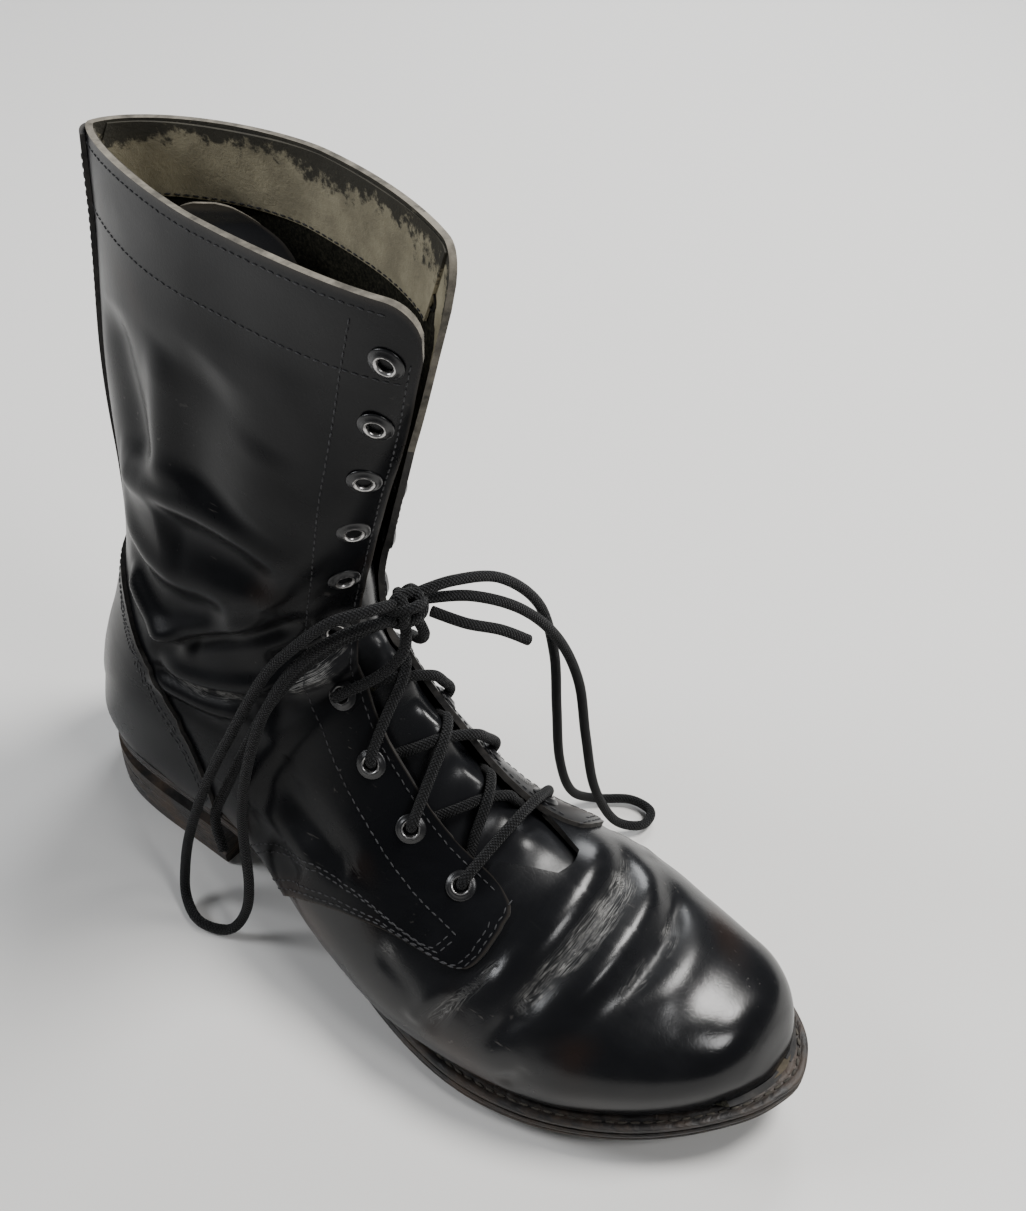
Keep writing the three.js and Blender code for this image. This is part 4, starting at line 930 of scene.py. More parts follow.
class MakeCamera(bpy.types.Operator):
    """Places the camera of the photograph"""

    bl_idname = "boot.camera"
    bl_label = "Camera"

    def execute(self, context):
        a, e, r = (math.radians(v) for v in (CAMERA_AZIMUTH, CAMERA_ELEVATION, CAMERA_ROLL))
        back = Vector((math.sin(a) * math.cos(e), -math.cos(a) * math.cos(e), math.sin(e)))
        right = Vector((math.cos(a), math.sin(a), 0))
        up = back.cross(right)
        x = right * math.cos(r) + up * math.sin(r)
        y = up * math.cos(r) - right * math.sin(r)
        place = (Vector(CAMERA_TARGET) + back * CAMERA_DISTANCE) * MM
        turn = Matrix((x, y, back)).transposed().to_euler()
        bpy.ops.object.camera_add(location=place, rotation=turn)
        camera = context.active_object
        camera.name = "camera"
        camera.data.sensor_fit = "VERTICAL"
        camera.data.sensor_height = 36
        camera.data.lens = CAMERA_LENS
        camera.data.clip_start = 0.01
        context.scene.camera = camera
        return {"FINISHED"}


# Routes of the free cords, the same as those of the solids, in millimetres
ROUTES = {
    "lace_loop_lateral": [
        (99, -6, 154), (96, -18, 157), (88, -28, 154), (78, -35, 141), (70, -40, 127), (59, -45, 98),
        (48, -49, 67), (39, -52, 34), (37, -55, 13), (42, -60, 4), (53, -64, 3.2), (64, -60, 4),
        (68, -55, 13), (69, -53, 30), (65, -50, 53), (66, -49, 76), (70, -46, 102), (74, -42, 119),
        (80, -35, 135),
        (90, -24, 147), (100, -10, 150),
    ],
    "lace_loop_medial": [
        (100, -2, 155), (106, 12, 155), (112, 30, 147), (118, 46, 127), (121, 55, 98), (122, 60, 66),
        (124, 64, 34), (128, 70, 12), (135, 79, 4), (146, 88, 3.2), (156, 88, 3.2), (157, 79, 4),
        (149, 70, 10), (141, 64, 30), (136, 60, 60), (132, 56, 90), (126, 48, 114), (119, 34, 134),
        (110, 17, 147), (101, 2, 151),
    ],
    "lace_end_lateral": [
        (96, -9, 146), (86, -20, 139), (76, -28, 126), (66, -35, 106), (58, -41, 81), (52, -44, 62),
        (49, -48, 47), (54, -50, 34),
    ],
    "lace_end_medial": [(105, 2, 148), (114, 9, 143), (121, 19, 137), (127, 27, 130)],
}
KNOT = (99, -4, 151)
# Turns of the lace in the knot, about its middle
KNOT_TURNS = [
    [(-4, -5, -3), (0, -6, 2), (5, -3, 4), (5, 2, 3), (1, 5, 1), (-4, 4, -1), (-5, -1, -3), (-1, -5, -4),
     (4, -4, -2), (6, 1, 0), (3, 5, 2)],
    [(-5, 3, -2), (-3, 0, 4), (1, -3, 5), (4, -5, 1), (2, -4, -4), (-3, -1, -5), (-4, 3, -1), (-1, 4, 4),
     (4, 2, 4), (5, -1, -2), (1, 2, -5)],
    [(-1, -7, 1), (-1, -3, 5), (1, 2, 5), (1, 6, 1), (-1, 5, -4)],
]


class MakeKnot(bpy.types.Operator):
    """Ties the knot of the bow from turns of the lace"""

    bl_idname = "boot.knot"
    bl_label = "Knot"

    def execute(self, context):
        x, y, z = KNOT
        parts = []
        for k, turn in enumerate(KNOT_TURNS):
            path = [(x + a, y + b, z + c) for a, b, c in turn]
            parts.append(tube("knot %d" % k, path, sizes().lace, sides=10, step=0.9))
        knot = join(parts, "lace_knot_piece")
        dress(knot, "lace braid")
        finish_piece(knot, ["lace_knot"])
        return {"FINISHED"}


class MakeCords(bpy.types.Operator):
    """Hangs the bow's two loops and the two free ends of the lace"""

    bl_idname = "boot.cords"
    bl_label = "Bow and ends"

    def execute(self, context):
        for name, route in ROUTES.items():
            piece = tube(name + "_piece", route, sizes().lace, sides=14)
            dress(piece, "lace braid")
            finish_piece(piece, [name])
        return {"FINISHED"}


# The sole


def outline(offset=0.0, count=240):
    """The sole's outline in plan, moved outwards."""
    lateral = np.stack([along(SOLE_OUTLINE[:, 0]), across(SOLE_OUTLINE[:, 1])], 1)
    medial = np.stack([along(SOLE_OUTLINE[:, 0]), across(SOLE_OUTLINE[:, 2])], 1)[1:-1][::-1]
    loop = np.concatenate([lateral, medial])
    n = len(loop)
    padded = np.concatenate([loop[-2:], loop, loop[:3]])
    fine = smooth_rows(padded, np.linspace(2, 2 + n, 8 * n, endpoint=False))
    run = run_along(fine)
    even = at_run(fine, run, np.linspace(0, run[-1], count, endpoint=False))
    for _ in range(2):
        even = (np.roll(even, 1, 0) + 2 * even + np.roll(even, -1, 0)) / 4
    t = np.roll(even, -1, 0) - np.roll(even, 1, 0)
    t /= np.linalg.norm(t, axis=1, keepdims=True)
    return even + np.stack([t[:, 1], -t[:, 0]], 1) * offset


def smooth_underside(x):
    """The underside's height without the table's corners."""
    return np.mean([underside(x + d) for d in np.linspace(-9, 9, 7)], axis=0)


def sole_ring(offset, up, base=smooth_underside, count=240):
    """The sole's outline moved outwards, a height above its underside."""
    plan = outline(offset, count)
    return np.column_stack([plan, base(plan[:, 0]) + up])


def layer(name, base_at, thickness, profile):
    """A layer of the sole with its side in a profile of heights, 0 to 1, and how far it stands out."""
    rings = [sole_ring(out, base_at + up * thickness) for up, out in profile]
    top = [sole_ring(-inset, base_at + thickness) for inset in (6, 16)]
    bottom = [sole_ring(-inset, base_at) for inset in (16, 6)]
    return loft(name, bottom + rings + top)


def cut(obj, cutter):
    apply_modifier(obj, "BOOLEAN", operation="DIFFERENCE", object=cutter, solver="EXACT")
    bpy.data.objects.remove(cutter, do_unlink=True)


LUG_DEPTH = 2.2
LUG_GROOVE = 3.2
LUG_SLANT = math.pi / 8
# Middles of the grooves: shares of the length from the heel's back, and of half the heel from its middle
FORE_GROOVES = [0.565, 0.605, 0.645, 0.685, 0.725, 0.765, 0.805, 0.845]
HEEL_GROOVES = [-0.62, 0.3]
# Sides of the sole's layers: height, 0 to 1, and how far it stands out
OUTSOLE_SIDE = [(0, -2.6), (0.12, -1.3), (0.3, -0.6), (0.6, 0), (0.8, 0.1), (1, -0.3)]
HEEL_SIDE = [(0, -1.6), (0.06, -0.8), (0.3, -0.4), (0.33, -1.1), (0.37, -1.1), (0.4, -0.3), (0.64, -0.2),
             (0.66, -0.8), (0.69, -0.8), (0.71, -0.1), (1, 0)]
MIDSOLE_SIDE = [(0, -0.9), (0.1, -0.4), (0.3, 0), (0.42, -0.1), (0.47, -0.5), (0.53, -0.5), (0.58, -0.1),
                (0.85, 0), (1, -0.5)]
INSOLE_SIDE = [(0, -12.5), (1, -12.5)]
WELT_SIDE = [(0, -1.4), (0.1, -0.9), (0.45, -0.2), (0.8, -0.35), (0.95, -0.8), (1, -1.4), (1.0, -2.6),
             (0.82, -3.1), (0.8, -3.9), (0.98, -4.4), (1, -5.5), (1, -WELT_WIDTH), (0, -WELT_WIDTH)]


def chevrons(places):
    """Grooves in chevrons, each of two slanted boxes, returned as separate boxes."""
    parts = []
    for x, ground in places:
        at = (x - HEEL_BACK) / LENGTH
        for column in (1, 2):
            reach = across(np.interp(at, SOLE_OUTLINE[:, 0], SOLE_OUTLINE[:, column])) * 0.82
            size = abs(reach) / math.cos(LUG_SLANT)
            sign = math.copysign(1, reach)
            deselect()
            bpy.ops.mesh.primitive_cube_add(size=1)
            box = bpy.context.active_object
            turn = Matrix.Rotation(sign * LUG_SLANT, 4, "Z")
            local = Matrix.Translation((0, sign * (size / 2 - 0.8), 0)) @ Matrix.Diagonal(
                (LUG_GROOVE, size, 2 * LUG_DEPTH, 1))
            box.data.transform(Matrix.Scale(MM, 4) @ Matrix.Translation((x, 0, ground)) @ turn @ local)
            parts.append(box)
    return parts


class MakeSole(bpy.types.Operator):
    """Stacks outsole, heel, midsole and insole"""

    bl_idname = "boot.sole"
    bl_label = "Sole"

    def execute(self, context):
        outsole = layer("outsole_piece", 0, OUTSOLE, OUTSOLE_SIDE)
        for groove in chevrons([(along(s), float(underside(along(s)))) for s in FORE_GROOVES]):
            cut(outsole, groove)
        dress(outsole, "sole rubber side")
        finish_piece(outsole, ["outsole"])

        rings = [sole_ring(out, up * (HEEL_HEIGHT - GAP), base=np.zeros_like) for up, out in HEEL_SIDE]
        heel = loft("heel_piece", rings)
        deselect()
        bpy.ops.mesh.primitive_cube_add(size=1)
        front = context.active_object
        ahead = Matrix.Translation((HEEL_LENGTH / 2 + 150, 0, 10)) @ Matrix.Diagonal((300, 200, 60, 1))
        front.data.transform(Matrix.Scale(MM, 4) @ ahead)
        cut(heel, front)
        for groove in chevrons([(s * HEEL_LENGTH / 2, 0) for s in HEEL_GROOVES]):
            cut(heel, groove)
        dress(heel, "sole rubber side")
        finish_piece(heel, ["heel"])

        midsole = layer("midsole_piece", MIDSOLE_AT, MIDSOLE, MIDSOLE_SIDE)
        dress(midsole, "sole side")
        finish_piece(midsole, ["midsole"])

        insole = layer("insole_piece", SEAT_AT + GAP, INSOLE, INSOLE_SIDE)
        dress(insole, "insole board")
        finish_piece(insole, ["insole"])
        for piece in (outsole, heel, midsole, insole):
            smooth(piece, 32)
        return {"FINISHED"}


# Where the welt ends at the waist, share of the length
WELT_ENDS = 0.264
WELT_STITCH = {"pitch": 4.2, "length": 3.4, "width": 1.15}


def welt_line(offset, up, count=400):
    """The part of the outline that the welt follows, from one side of the waist to the other."""
    ring = sole_ring(offset, SEAT_AT + up, count=count)
    ahead = outline(0, count)[:, 0] > along(WELT_ENDS)
    lateral = int(np.argmax(ahead))
    medial = count - int(np.argmax(ahead[::-1]))
    return ring[lateral:medial]


class MakeWelt(bpy.types.Operator):
    """Lays the welt round the foot and sews it"""

    bl_idname = "boot.welt"
    bl_label = "Welt"

    def execute(self, context):
        rings = np.stack([welt_line(out, up * WELT) for up, out in WELT_SIDE], 1)
        wobble = 0.16 * np.sin(np.arange(len(rings)) * 1.9)
        rings[:, 8:11, 2] += wobble[:, None]
        welt = loft("welt_piece", rings)
        smooth(welt, 60)
        dress(welt, "sole side")
        finish_piece(welt, ["welt"])
        middle = welt_line(-3.5, WELT * 0.86, 1600)
        upward = np.tile((0, 0, 1.0), (len(middle), 1))
        stitches = stitch_row("welt_stitches", [(middle, upward)], **WELT_STITCH)
        dress(stitches, "welt thread")
        finish_piece(stitches)
        return {"FINISHED"}


# Sewing


def stitch_row(name, rows, pitch, length, width):
    """Rows of stitches on lines of points with normals, all in one mesh."""
    deselect()
    bpy.ops.mesh.primitive_uv_sphere_add(segments=6, ring_count=4, radius=0.5)
    bead = bpy.context.active_object
    base = np.array([v.co[:] for v in bead.data.vertices])[:, [2, 0, 1]]
    bead_faces = [np.array(p.vertices[:]) for p in bead.data.polygons]
    bpy.data.objects.remove(bead, do_unlink=True)
    vertices, faces = [], []
    for line, normals in rows:
        run = run_along(line)
        for k, at in enumerate(np.arange(pitch / 2, run[-1] - pitch / 2, pitch)):
            here, normal = at_run(line, run, at), at_run(normals, run, at)
            t = at_run(line, run, at + 0.4) - here
            t /= max(np.linalg.norm(t), 1e-9)
            s = np.cross(normal, t)
            s /= max(np.linalg.norm(s), 1e-9)
            lean = 0.09 * math.sin(k * 2.4)
            local = base * (length, width, width * 0.72)
            shape = local[:, :1] * (t + s * lean) + local[:, 1:2] * s + local[:, 2:] * normal
            faces += [f + len(vertices) * len(base) for f in bead_faces]
            vertices.append(here + shape)
    obj = mesh_piece(name, np.concatenate(vertices) * MM, faces)
    for polygon in obj.data.polygons:
        polygon.use_smooth = True
    return obj


# How far stitches stand over the leather
STITCH_LIFT = 0.1
# Sewn lines: rows below the collar, where they begin behind the facing's edge, distance to the cut edge
COLLAR_SEAMS = [(0.11, 12, 3.9), (0.74, 4, CALM)]
# From row to row, and distance from the facing's edge
FACING_SEAMS = [(10.4, 30.3, 3.0), (10.5, 30.55, 22.5)]
# Rows behind the quarters' front edge, the same distance in millimetres, where they begin below the facing
FRONT_SEAMS = [(0.12, 1.8, 3), (0.26, 3.8, 12), (0.72, 10, 24), (0.86, 12, 24)]
# Distances inside the counter's top edge
COUNTER_SEAMS = [2.2, 4.6]


def seam(side, vs, distances, to_edge=CALM, offset=0.0):
    """A sewn line on the leather, to_edge from its cut edge: its points and normals."""
    vs = np.asarray(vs, float)
    points = on_form(vs, side, distances)
    normals = normals_on(vs, side, distances)
    height = fold_field(points) + slack(points) * min(to_edge / CALM, 1) + STITCH_LIFT + offset
    return points + normals * height[:, None], normals


# The upper


def corner_drop(distance, radius=14.0, row=31.0):
    """How far the facing's rounded corner falls below the collar, in rows of the table."""
    d = np.clip(radius - distance, 0, radius)
    return (radius - np.sqrt(np.maximum(radius**2 - d**2, 0))) / row


def edge_distance(points):
    """Millimetres from each point of a grid to the nearest of its first and last rows and first column."""
    steps_v = np.linalg.norm(np.diff(points, axis=0), axis=2)
    from_first = np.concatenate([np.zeros((1, points.shape[1])), np.cumsum(steps_v, axis=0)])
    to_last = from_first[-1][None] - from_first
    steps_u = np.linalg.norm(np.diff(points, axis=1), axis=2)
    from_side = np.concatenate([np.zeros((points.shape[0], 1)), np.cumsum(steps_u, axis=1)], axis=1)
    return np.minimum(np.minimum(from_first, to_last), from_side), to_last


def quarter_sheet(side, count_v, count_u):
    """One quarter and its half of the shaft as a grid on the form, from its front edge to the collar."""
    share = np.linspace(0, 1, count_u)
    first = start_rows(share, side, True)
    vs_mid = np.full(count_u, COLLAR_ROW)
    lines = half_lines(vs_mid, side)
    run = run_of(lines)[:, -1]
    begin = slit(vs_mid, side)
    distance = (run - begin) * share
    last = COLLAR_ROW - corner_drop(distance)
    begin_low = slit(first, side)
    low_run = run_of(half_lines(first, side))[:, -1]
    first = first + corner_drop((low_run - begin_low) * share, 11.0, 15.0)
    t = np.linspace(0, 1, count_v)[:, None]
    vs = first[None] + (last - first)[None] * t
    points = grid_points(vs, side, share)
    if side < 0:
        points = points[:, ::-1]
    return points


# Above this height the quarters' cut edge is raw, below it is dyed
RAW_FROM = 205.0
# Depth of the suede band on the quarters' inside
BAND = 22.0


class MakeUpper(bpy.types.Operator):
    """Cuts, folds and creases the vamp and the quarters with their shaft"""

    bl_idname = "boot.upper"
    bl_label = "Upper"

    def execute(self, context):
        count = sizes().across
        halves = []
        for side in (LATERAL, MEDIAL):
            points = quarter_sheet(side, int(count * 1.9), count)
            work = points if side > 0 else points[:, ::-1]
            rim_distance, to_collar = edge_distance(work)
            if side < 0:
                rim_distance, to_collar = rim_distance[:, ::-1], to_collar[:, ::-1]
            rim = np.exp(-((rim_distance / 1.4) ** 2))
            band = np.where(to_collar < BAND, 2.0 - to_collar / BAND, 0.0)
            flat = points.reshape(-1, 3)
            lift = fold_field(flat)
            crease, flow = crack_flow(flat)
            lift += slack(flat) * np.clip(rim_distance, 0, CALM).reshape(-1) / CALM
            given = {"crease": crease, "rim": rim, "band": band, "flow": flow}
            halves.append(sheet("quarter %d" % side, raised(points, lift), given))
        quarters = join(halves, "quarters_piece", merge=0.12)
        dress(quarters, "polished leather", "inside leather", "raw edge", "cut edge")
        thicken(quarters, sizes().leather, inside=1, rim=2)
        for polygon in quarters.data.polygons:
            if polygon.material_index == 2 and polygon.center.z < RAW_FROM * MM:
                polygon.material_index = 3
        finish_piece(quarters, ["upper"])

        share = np.linspace(0, 1, int(count * 0.75))
        grids = []
        for side in (LATERAL, MEDIAL):
            first = start_rows(share, side, False)
            under = 9.45 + np.clip(share - 0.12, 0, 1) * 2.2
            last = np.maximum(np.minimum(first + 0.9, 17.2), under)
            last = evened(np.where(share < 0.12, 9.45 + share * 2, last), [1] * 7)
            t = np.linspace(0, 1, int(count * 1.35))[:, None] ** 0.85
            vs = 0.3 + (last[None] - 0.3) * t
            grids.append(grid_points(vs, side, share, from_slit=False))
        points = np.concatenate([grids[0][:, ::-1], grids[1][:, 1:]], axis=1)
        flat = points.reshape(-1, 3)
        crease, flow = crack_flow(flat)
        given = {"crease": crease, "rim": np.zeros(crease.size), "flow": flow}
        vamp = sheet("vamp_piece", raised(points, fold_field(flat) - LAP), given)
        dress(vamp, "polished toe", "inside leather", "cut edge")
        thicken(vamp, sizes().leather, inside=1, rim=2)
        finish_piece(vamp, ["upper"])
        return {"FINISHED"}


# Half the width of the backstay
BACKSTAY = 6.5


class MakeOverlays(bpy.types.Operator):
    """Lays the heel counter and the backstay on the quarters"""

    bl_idname = "boot.overlays"
    bl_label = "Counter and backstay"

    def execute(self, context):
        halves = []
        vs = np.concatenate([np.linspace(15.02, 18, 56), np.linspace(18.06, 23.5, 66)])
        for side in (LATERAL, MEDIAL):
            lines = half_lines(vs, side)[:, ::-1]
            run = run_of(lines)
            height = []
            for i in range(len(vs)):
                over = np.nonzero(lines[i, :, 2] > counter_top(lines[i, :, 0]))[0]
                height.append(run[i, over[0]] if len(over) else run[i, -1])
            height = np.maximum(evened(height, [1] * 7), 0.05)
            share = np.linspace(0, 1, 58)
            points = np.array([at_run(lines[i], run[i], share * height[i]) for i in range(len(vs))])
            if side > 0:
                points = points[:, ::-1]
            from_first = run_of(points)
            to_edge = from_first if side > 0 else from_first[:, -1:] - from_first
            flat = points.reshape(-1, 3)
            lift = fold_field(flat) * 0.8 + slack(flat) + OVERLAY + 0.35
            given = {"crease": crack_flow(flat)[0] * 0.6, "rim": np.exp(-((to_edge / 1.1) ** 2))}
            halves.append(sheet("counter %d" % side, raised(points, lift), given))
        counter = join(halves, "heel_counter_piece", merge=0.3)
        dress(counter, "polished leather", "inside leather", "cut edge")
        thicken(counter, OVERLAY + 0.25, inside=1, rim=2)
        finish_piece(counter, ["heel_counter"])

        vs = np.linspace(23.2, 30.66, 190)
        reach = np.linspace(-BACKSTAY, BACKSTAY, 21)
        points = np.empty((len(vs), len(reach), 3))
        for side in (LATERAL, MEDIAL):
            lines = half_lines(vs, side)[:, ::-1]
            run = run_of(lines)
            pick = np.nonzero(reach > 0 if side > 0 else reach <= 0)[0]
            for i in range(len(vs)):
                points[i, pick] = at_run(lines[i], run[i], np.abs(reach[pick]))
        points = points[:, ::-1]
        flat = points.reshape(-1, 3)
        lift = fold_field(flat) + (slack(flat) + OVERLAY + 0.3)
        rim = np.exp(-(((BACKSTAY - np.abs(reach)) / 0.9) ** 2))[None].repeat(len(vs), 0)
        strip = sheet("backstay_piece", raised(points, lift), {"crease": crack_flow(flat)[0], "rim": rim})
        dress(strip, "polished leather", "inside leather", "cut edge")
        thicken(strip, OVERLAY + 0.2, inside=1, rim=2)
        finish_piece(strip, ["backstay"])
        return {"FINISHED"}


# The band begins this far behind the facing's edge, and is this many rows of the table high
BAND_FROM = 9.0
BAND_ROWS = 0.74


class MakeCollarBand(bpy.types.Operator):
    """Sews the suede band inside the collar"""

    bl_idname = "boot.collar"
    bl_label = "Collar band"

    def execute(self, context):
        halves = []
        rows = []
        for side in (LATERAL, MEDIAL):
            middle = np.array([30.3])
            begin = slit(middle, side)[0] + BAND_FROM
            end = run_of(half_lines(middle, side))[0, -1]
            distance = np.linspace(begin, end, 120)
            t = np.linspace(0, 1, 22)[:, None]
            top = COLLAR_ROW - corner_drop(distance - begin + BAND_FROM) - 0.03
            vs = (top - BAND_ROWS)[None] + BAND_ROWS * t
            points = np.array([on_form(row, side, distance) for row in vs])
            if side < 0:
                points = points[:, ::-1]
            normals = grid_normals(points)
            flat = points.reshape(-1, 3)
            lift = (fold_field(flat) + slack(flat)).reshape(points.shape[:2] + (1,))
            moved = points + normals * (lift - sizes().leather - 0.1)
            band = (1.05 + 0.95 * t).repeat(len(distance), 1)
            halves.append(sheet("band %d" % side, moved, {"band": band, "rim": np.zeros(band.size)}))
            low = moved[1] - normals[1] * 1.1
            rows.append((low, -normals[1]))
        band = join(halves, "collar_band_piece", merge=0.3)
        dress(band, "inside leather", "inside leather", "inside leather")
        thicken(band, 0.9)
        finish_piece(band)
        stitches = stitch_row("band_stitches", rows, sizes().pitch, sizes().stitch, 0.7)
        dress(stitches, "thread")
        finish_piece(stitches)
        return {"FINISHED"}


# The tongue: row of the table of sections, half width as a share of the ball width, depth under the form,
# moved back and to the medial side, turn in degrees, how flat it is
TONGUE_ROWS = np.array([
    (8.9, 0.15, 5.6, 0, 0, 0, 0), (9.4, 0.17, 5.4, 0, 0, 0, 0), (10, 0.2, 5.6, 0, 0, 0, 0),
    (11, 0.24, 6.6, 0, 0, 0, 0), (12, 0.27, 7.0, 0, 0, 0, 0), (13, 0.29, 6.6, 0, 0, 0, 0),
    (14, 0.3, 6.2, 0, 0, 0, 0), (15, 0.3, 5.6, 0, 0, 0, 0), (16, 0.3, 4.6, 0, 0, 0, 0),
    (17, 0.3, 3.6, 0, 0, 0, 0), (18, 0.29, 3.2, 0.002, 0, 0, 0), (19.5, 0.27, 3.2, 0.01, 0, 0, 0.05),
    (21, 0.24, 3.2, 0.03, 0.005, 3, 0.15), (22.5, 0.2, 3.2, 0.06, 0.01, 8, 0.3),
    (24, 0.17, 3.2, 0.1, 0.02, 15, 0.5), (25.5, 0.16, 3.2, 0.15, 0.045, 24, 0.7),
    (27, 0.165, 3.2, 0.21, 0.09, 33, 0.9), (28.5, 0.178, 3.2, 0.275, 0.15, 42, 1),
    (29.1, 0.168, 3.2, 0.305, 0.18, 46, 1), (29.5, 0.146, 3.2, 0.325, 0.195, 48, 1),
    (29.75, 0.115, 3.2, 0.336, 0.203, 49, 1), (29.9, 0.075, 3.2, 0.344, 0.209, 50, 1),
    (29.96, 0.03, 3.2, 0.347, 0.211, 50, 1),
])
# Swellings of the tongue between the laces: row of the table, signed distance across, half size, height
TONGUE_SWELLS = [(10.6, -4, 8, 2.0), (11.9, 1, 8, 3.6), (13.2, -1, 8, 3.8), (14.5, 1, 8, 3.8),
                 (15.8, 0, 8, 3.0)]
# Above this height, in metres, the tongue's cut edge shows raw
TONGUE_RAW_FROM = 0.2


class MakeTongue(bpy.types.Operator):
    """Shapes the tongue from its root to its top, which leans back inside the shaft"""

    bl_idname = "boot.tongue"
    bl_label = "Tongue"

    def execute(self, context):
        rows = smooth_rows(TONGUE_ROWS, np.linspace(0, len(TONGUE_ROWS) - 1, 230))
        shares = np.linspace(-1, 1, 53)
        points = np.empty((len(rows), len(shares), 3))
        for i, (row, half, under, lean, shift, turn, flat) in enumerate(rows):
            middle = on_form([row], 1, [0.0])[0]
            a = -math.radians(turn)
            spin = np.array([[math.cos(a), -math.sin(a), 0], [math.sin(a), math.cos(a), 0], [0, 0, 1]])
            out = across(half) * shares
            for side in (LATERAL, MEDIAL):
                pick = np.nonzero(out < 0)[0] if side < 0 else np.nonzero(out >= 0)[0]
                p = on_form(np.full(len(pick), row), side, np.abs(out[pick])) - middle
                n = normals_on(np.full(len(pick), row), side, np.maximum(np.abs(out[pick]), 0.7))
                flat_p = np.stack([np.zeros(len(pick)), out[pick], np.zeros(len(pick))], 1)
                mean_n = normals_on([row], MEDIAL, [0.8])[0] + normals_on([row], LATERAL, [0.8])[0]
                mean_n /= np.linalg.norm(mean_n)
                upright = np.exp(-((out[pick] / 20) ** 2))[:, None]
                n = n * (1 - upright) + mean_n * upright
                p = p * (1 - flat) + flat_p * flat
                n = n * (1 - flat) + mean_n * flat
                swell = sum(h * np.exp(-(((row - r) * 20 / s) ** 2) - ((out[pick] - d) / s) ** 2)
                            for r, d, s, h in TONGUE_SWELLS)
                p = p - n * (under - swell)[:, None]
                points[i, pick] = p @ spin.T + middle + (-lean * LENGTH, across(shift), 0)
        edge = (1 - np.abs(shares))[None] * across(rows[:, 1])[:, None]
        top = (rows[-1, 0] - rows[:, 0])[:, None] * 12
        rim = np.exp(-((np.minimum(edge, top) / 1.6) ** 2))
        tongue = sheet("tongue_piece", points, {"rim": rim, "crease": 0.12 * np.ones(rim.shape)})
        dress(tongue, "tongue leather", "inside leather", "raw edge")
        thicken(tongue, TONGUE, inside=1, rim=2)
        for polygon in tongue.data.polygons:
            if polygon.material_index == 2 and polygon.center.z < TONGUE_RAW_FROM:
                polygon.material_index = 0
        finish_piece(tongue, ["tongue"])
        return {"FINISHED"}


# Eyelets and laces

# Rows of the table at which the eyelets begin and end, and how many a side has
EYELETS_START = 11.05
EYELETS_END = 30.2
EYELETS = 10
# Section of an eyelet: radius, height, and how far its enamel is worn
EYELET_SECTION = [
    (2.35, -2.9, 0.2), (2.35, 0.4, 0.5), (2.5, 1.0, 0.85), (2.85, 1.35, 0.8), (3.3, 1.4, 0.42),
    (3.75, 1.15, 0.16), (4.2, 0.75, 0.08), (4.7, 0.55, 0.05), (5.1, 0.4, 0.1), (5.25, 0.15, 0.1),
    (5.2, -0.05, 0), (3.2, -0.1, 0), (2.95, -2.9, 0),
]
EYELET_SIDES = 28


def eyelet_places(side):
    """Places and normals of the eyelets, evenly along the facing."""
    vs = np.linspace(EYELETS_START, EYELETS_END, 201)
    line = on_form(vs, side, slit(vs, side) + EYELET_IN)
    run = run_along(line)
    v = np.interp(np.linspace(0, run[-1], EYELETS), run, vs)
    d = slit(v, side) + EYELET_IN
    points, normals = on_form(v, side, d), normals_on(v, side, d)
    return v, points + normals * fold_field(points)[:, None], normals


class MakeEyelets(bpy.types.Operator):
    """Sets the eyelets in the facings"""

    bl_idname = "boot.eyelets"
    bl_label = "Eyelets"

    def execute(self, context):
        m = len(EYELET_SECTION)
        for side, word in ((LATERAL, "lateral"), (MEDIAL, "medial")):
            _, points, normals = eyelet_places(side)
            vertices, faces, wear = [], [], []
            for point, normal in zip(points, normals):
                a = np.cross(normal, (0, 0, 1.0))
                a /= np.linalg.norm(a)
                b = np.cross(normal, a)
                base = len(vertices)
                for k in range(EYELET_SIDES):
                    angle = 2 * math.pi * k / EYELET_SIDES
                    out = math.cos(angle) * a + math.sin(angle) * b
                    p, q = base + k * m, base + ((k + 1) % EYELET_SIDES) * m
                    for j, (radius, height, worn) in enumerate(EYELET_SECTION):
                        vertices.append(point + out * radius + normal * height)
                        wear.append(worn)
                        faces.append((p + j, q + j, q + (j + 1) % m, p + (j + 1) % m))
            rings = mesh_piece("eyelets_%s_piece" % word, np.array(vertices) * MM, faces)
            set_attribute(rings, "wear", wear)
            face_outwards(rings)
            smooth(rings, 60)
            dress(rings, "worn enamel")
            finish_piece(rings, ["eyelet_%s_%d" % (word, k + 1) for k in range(EYELETS)])
        return {"FINISHED"}


# Pairs of eyelets that are laced, counted from the lowest, and how deep the lace runs under the leather
LACED = 4
UNDER = 4.4


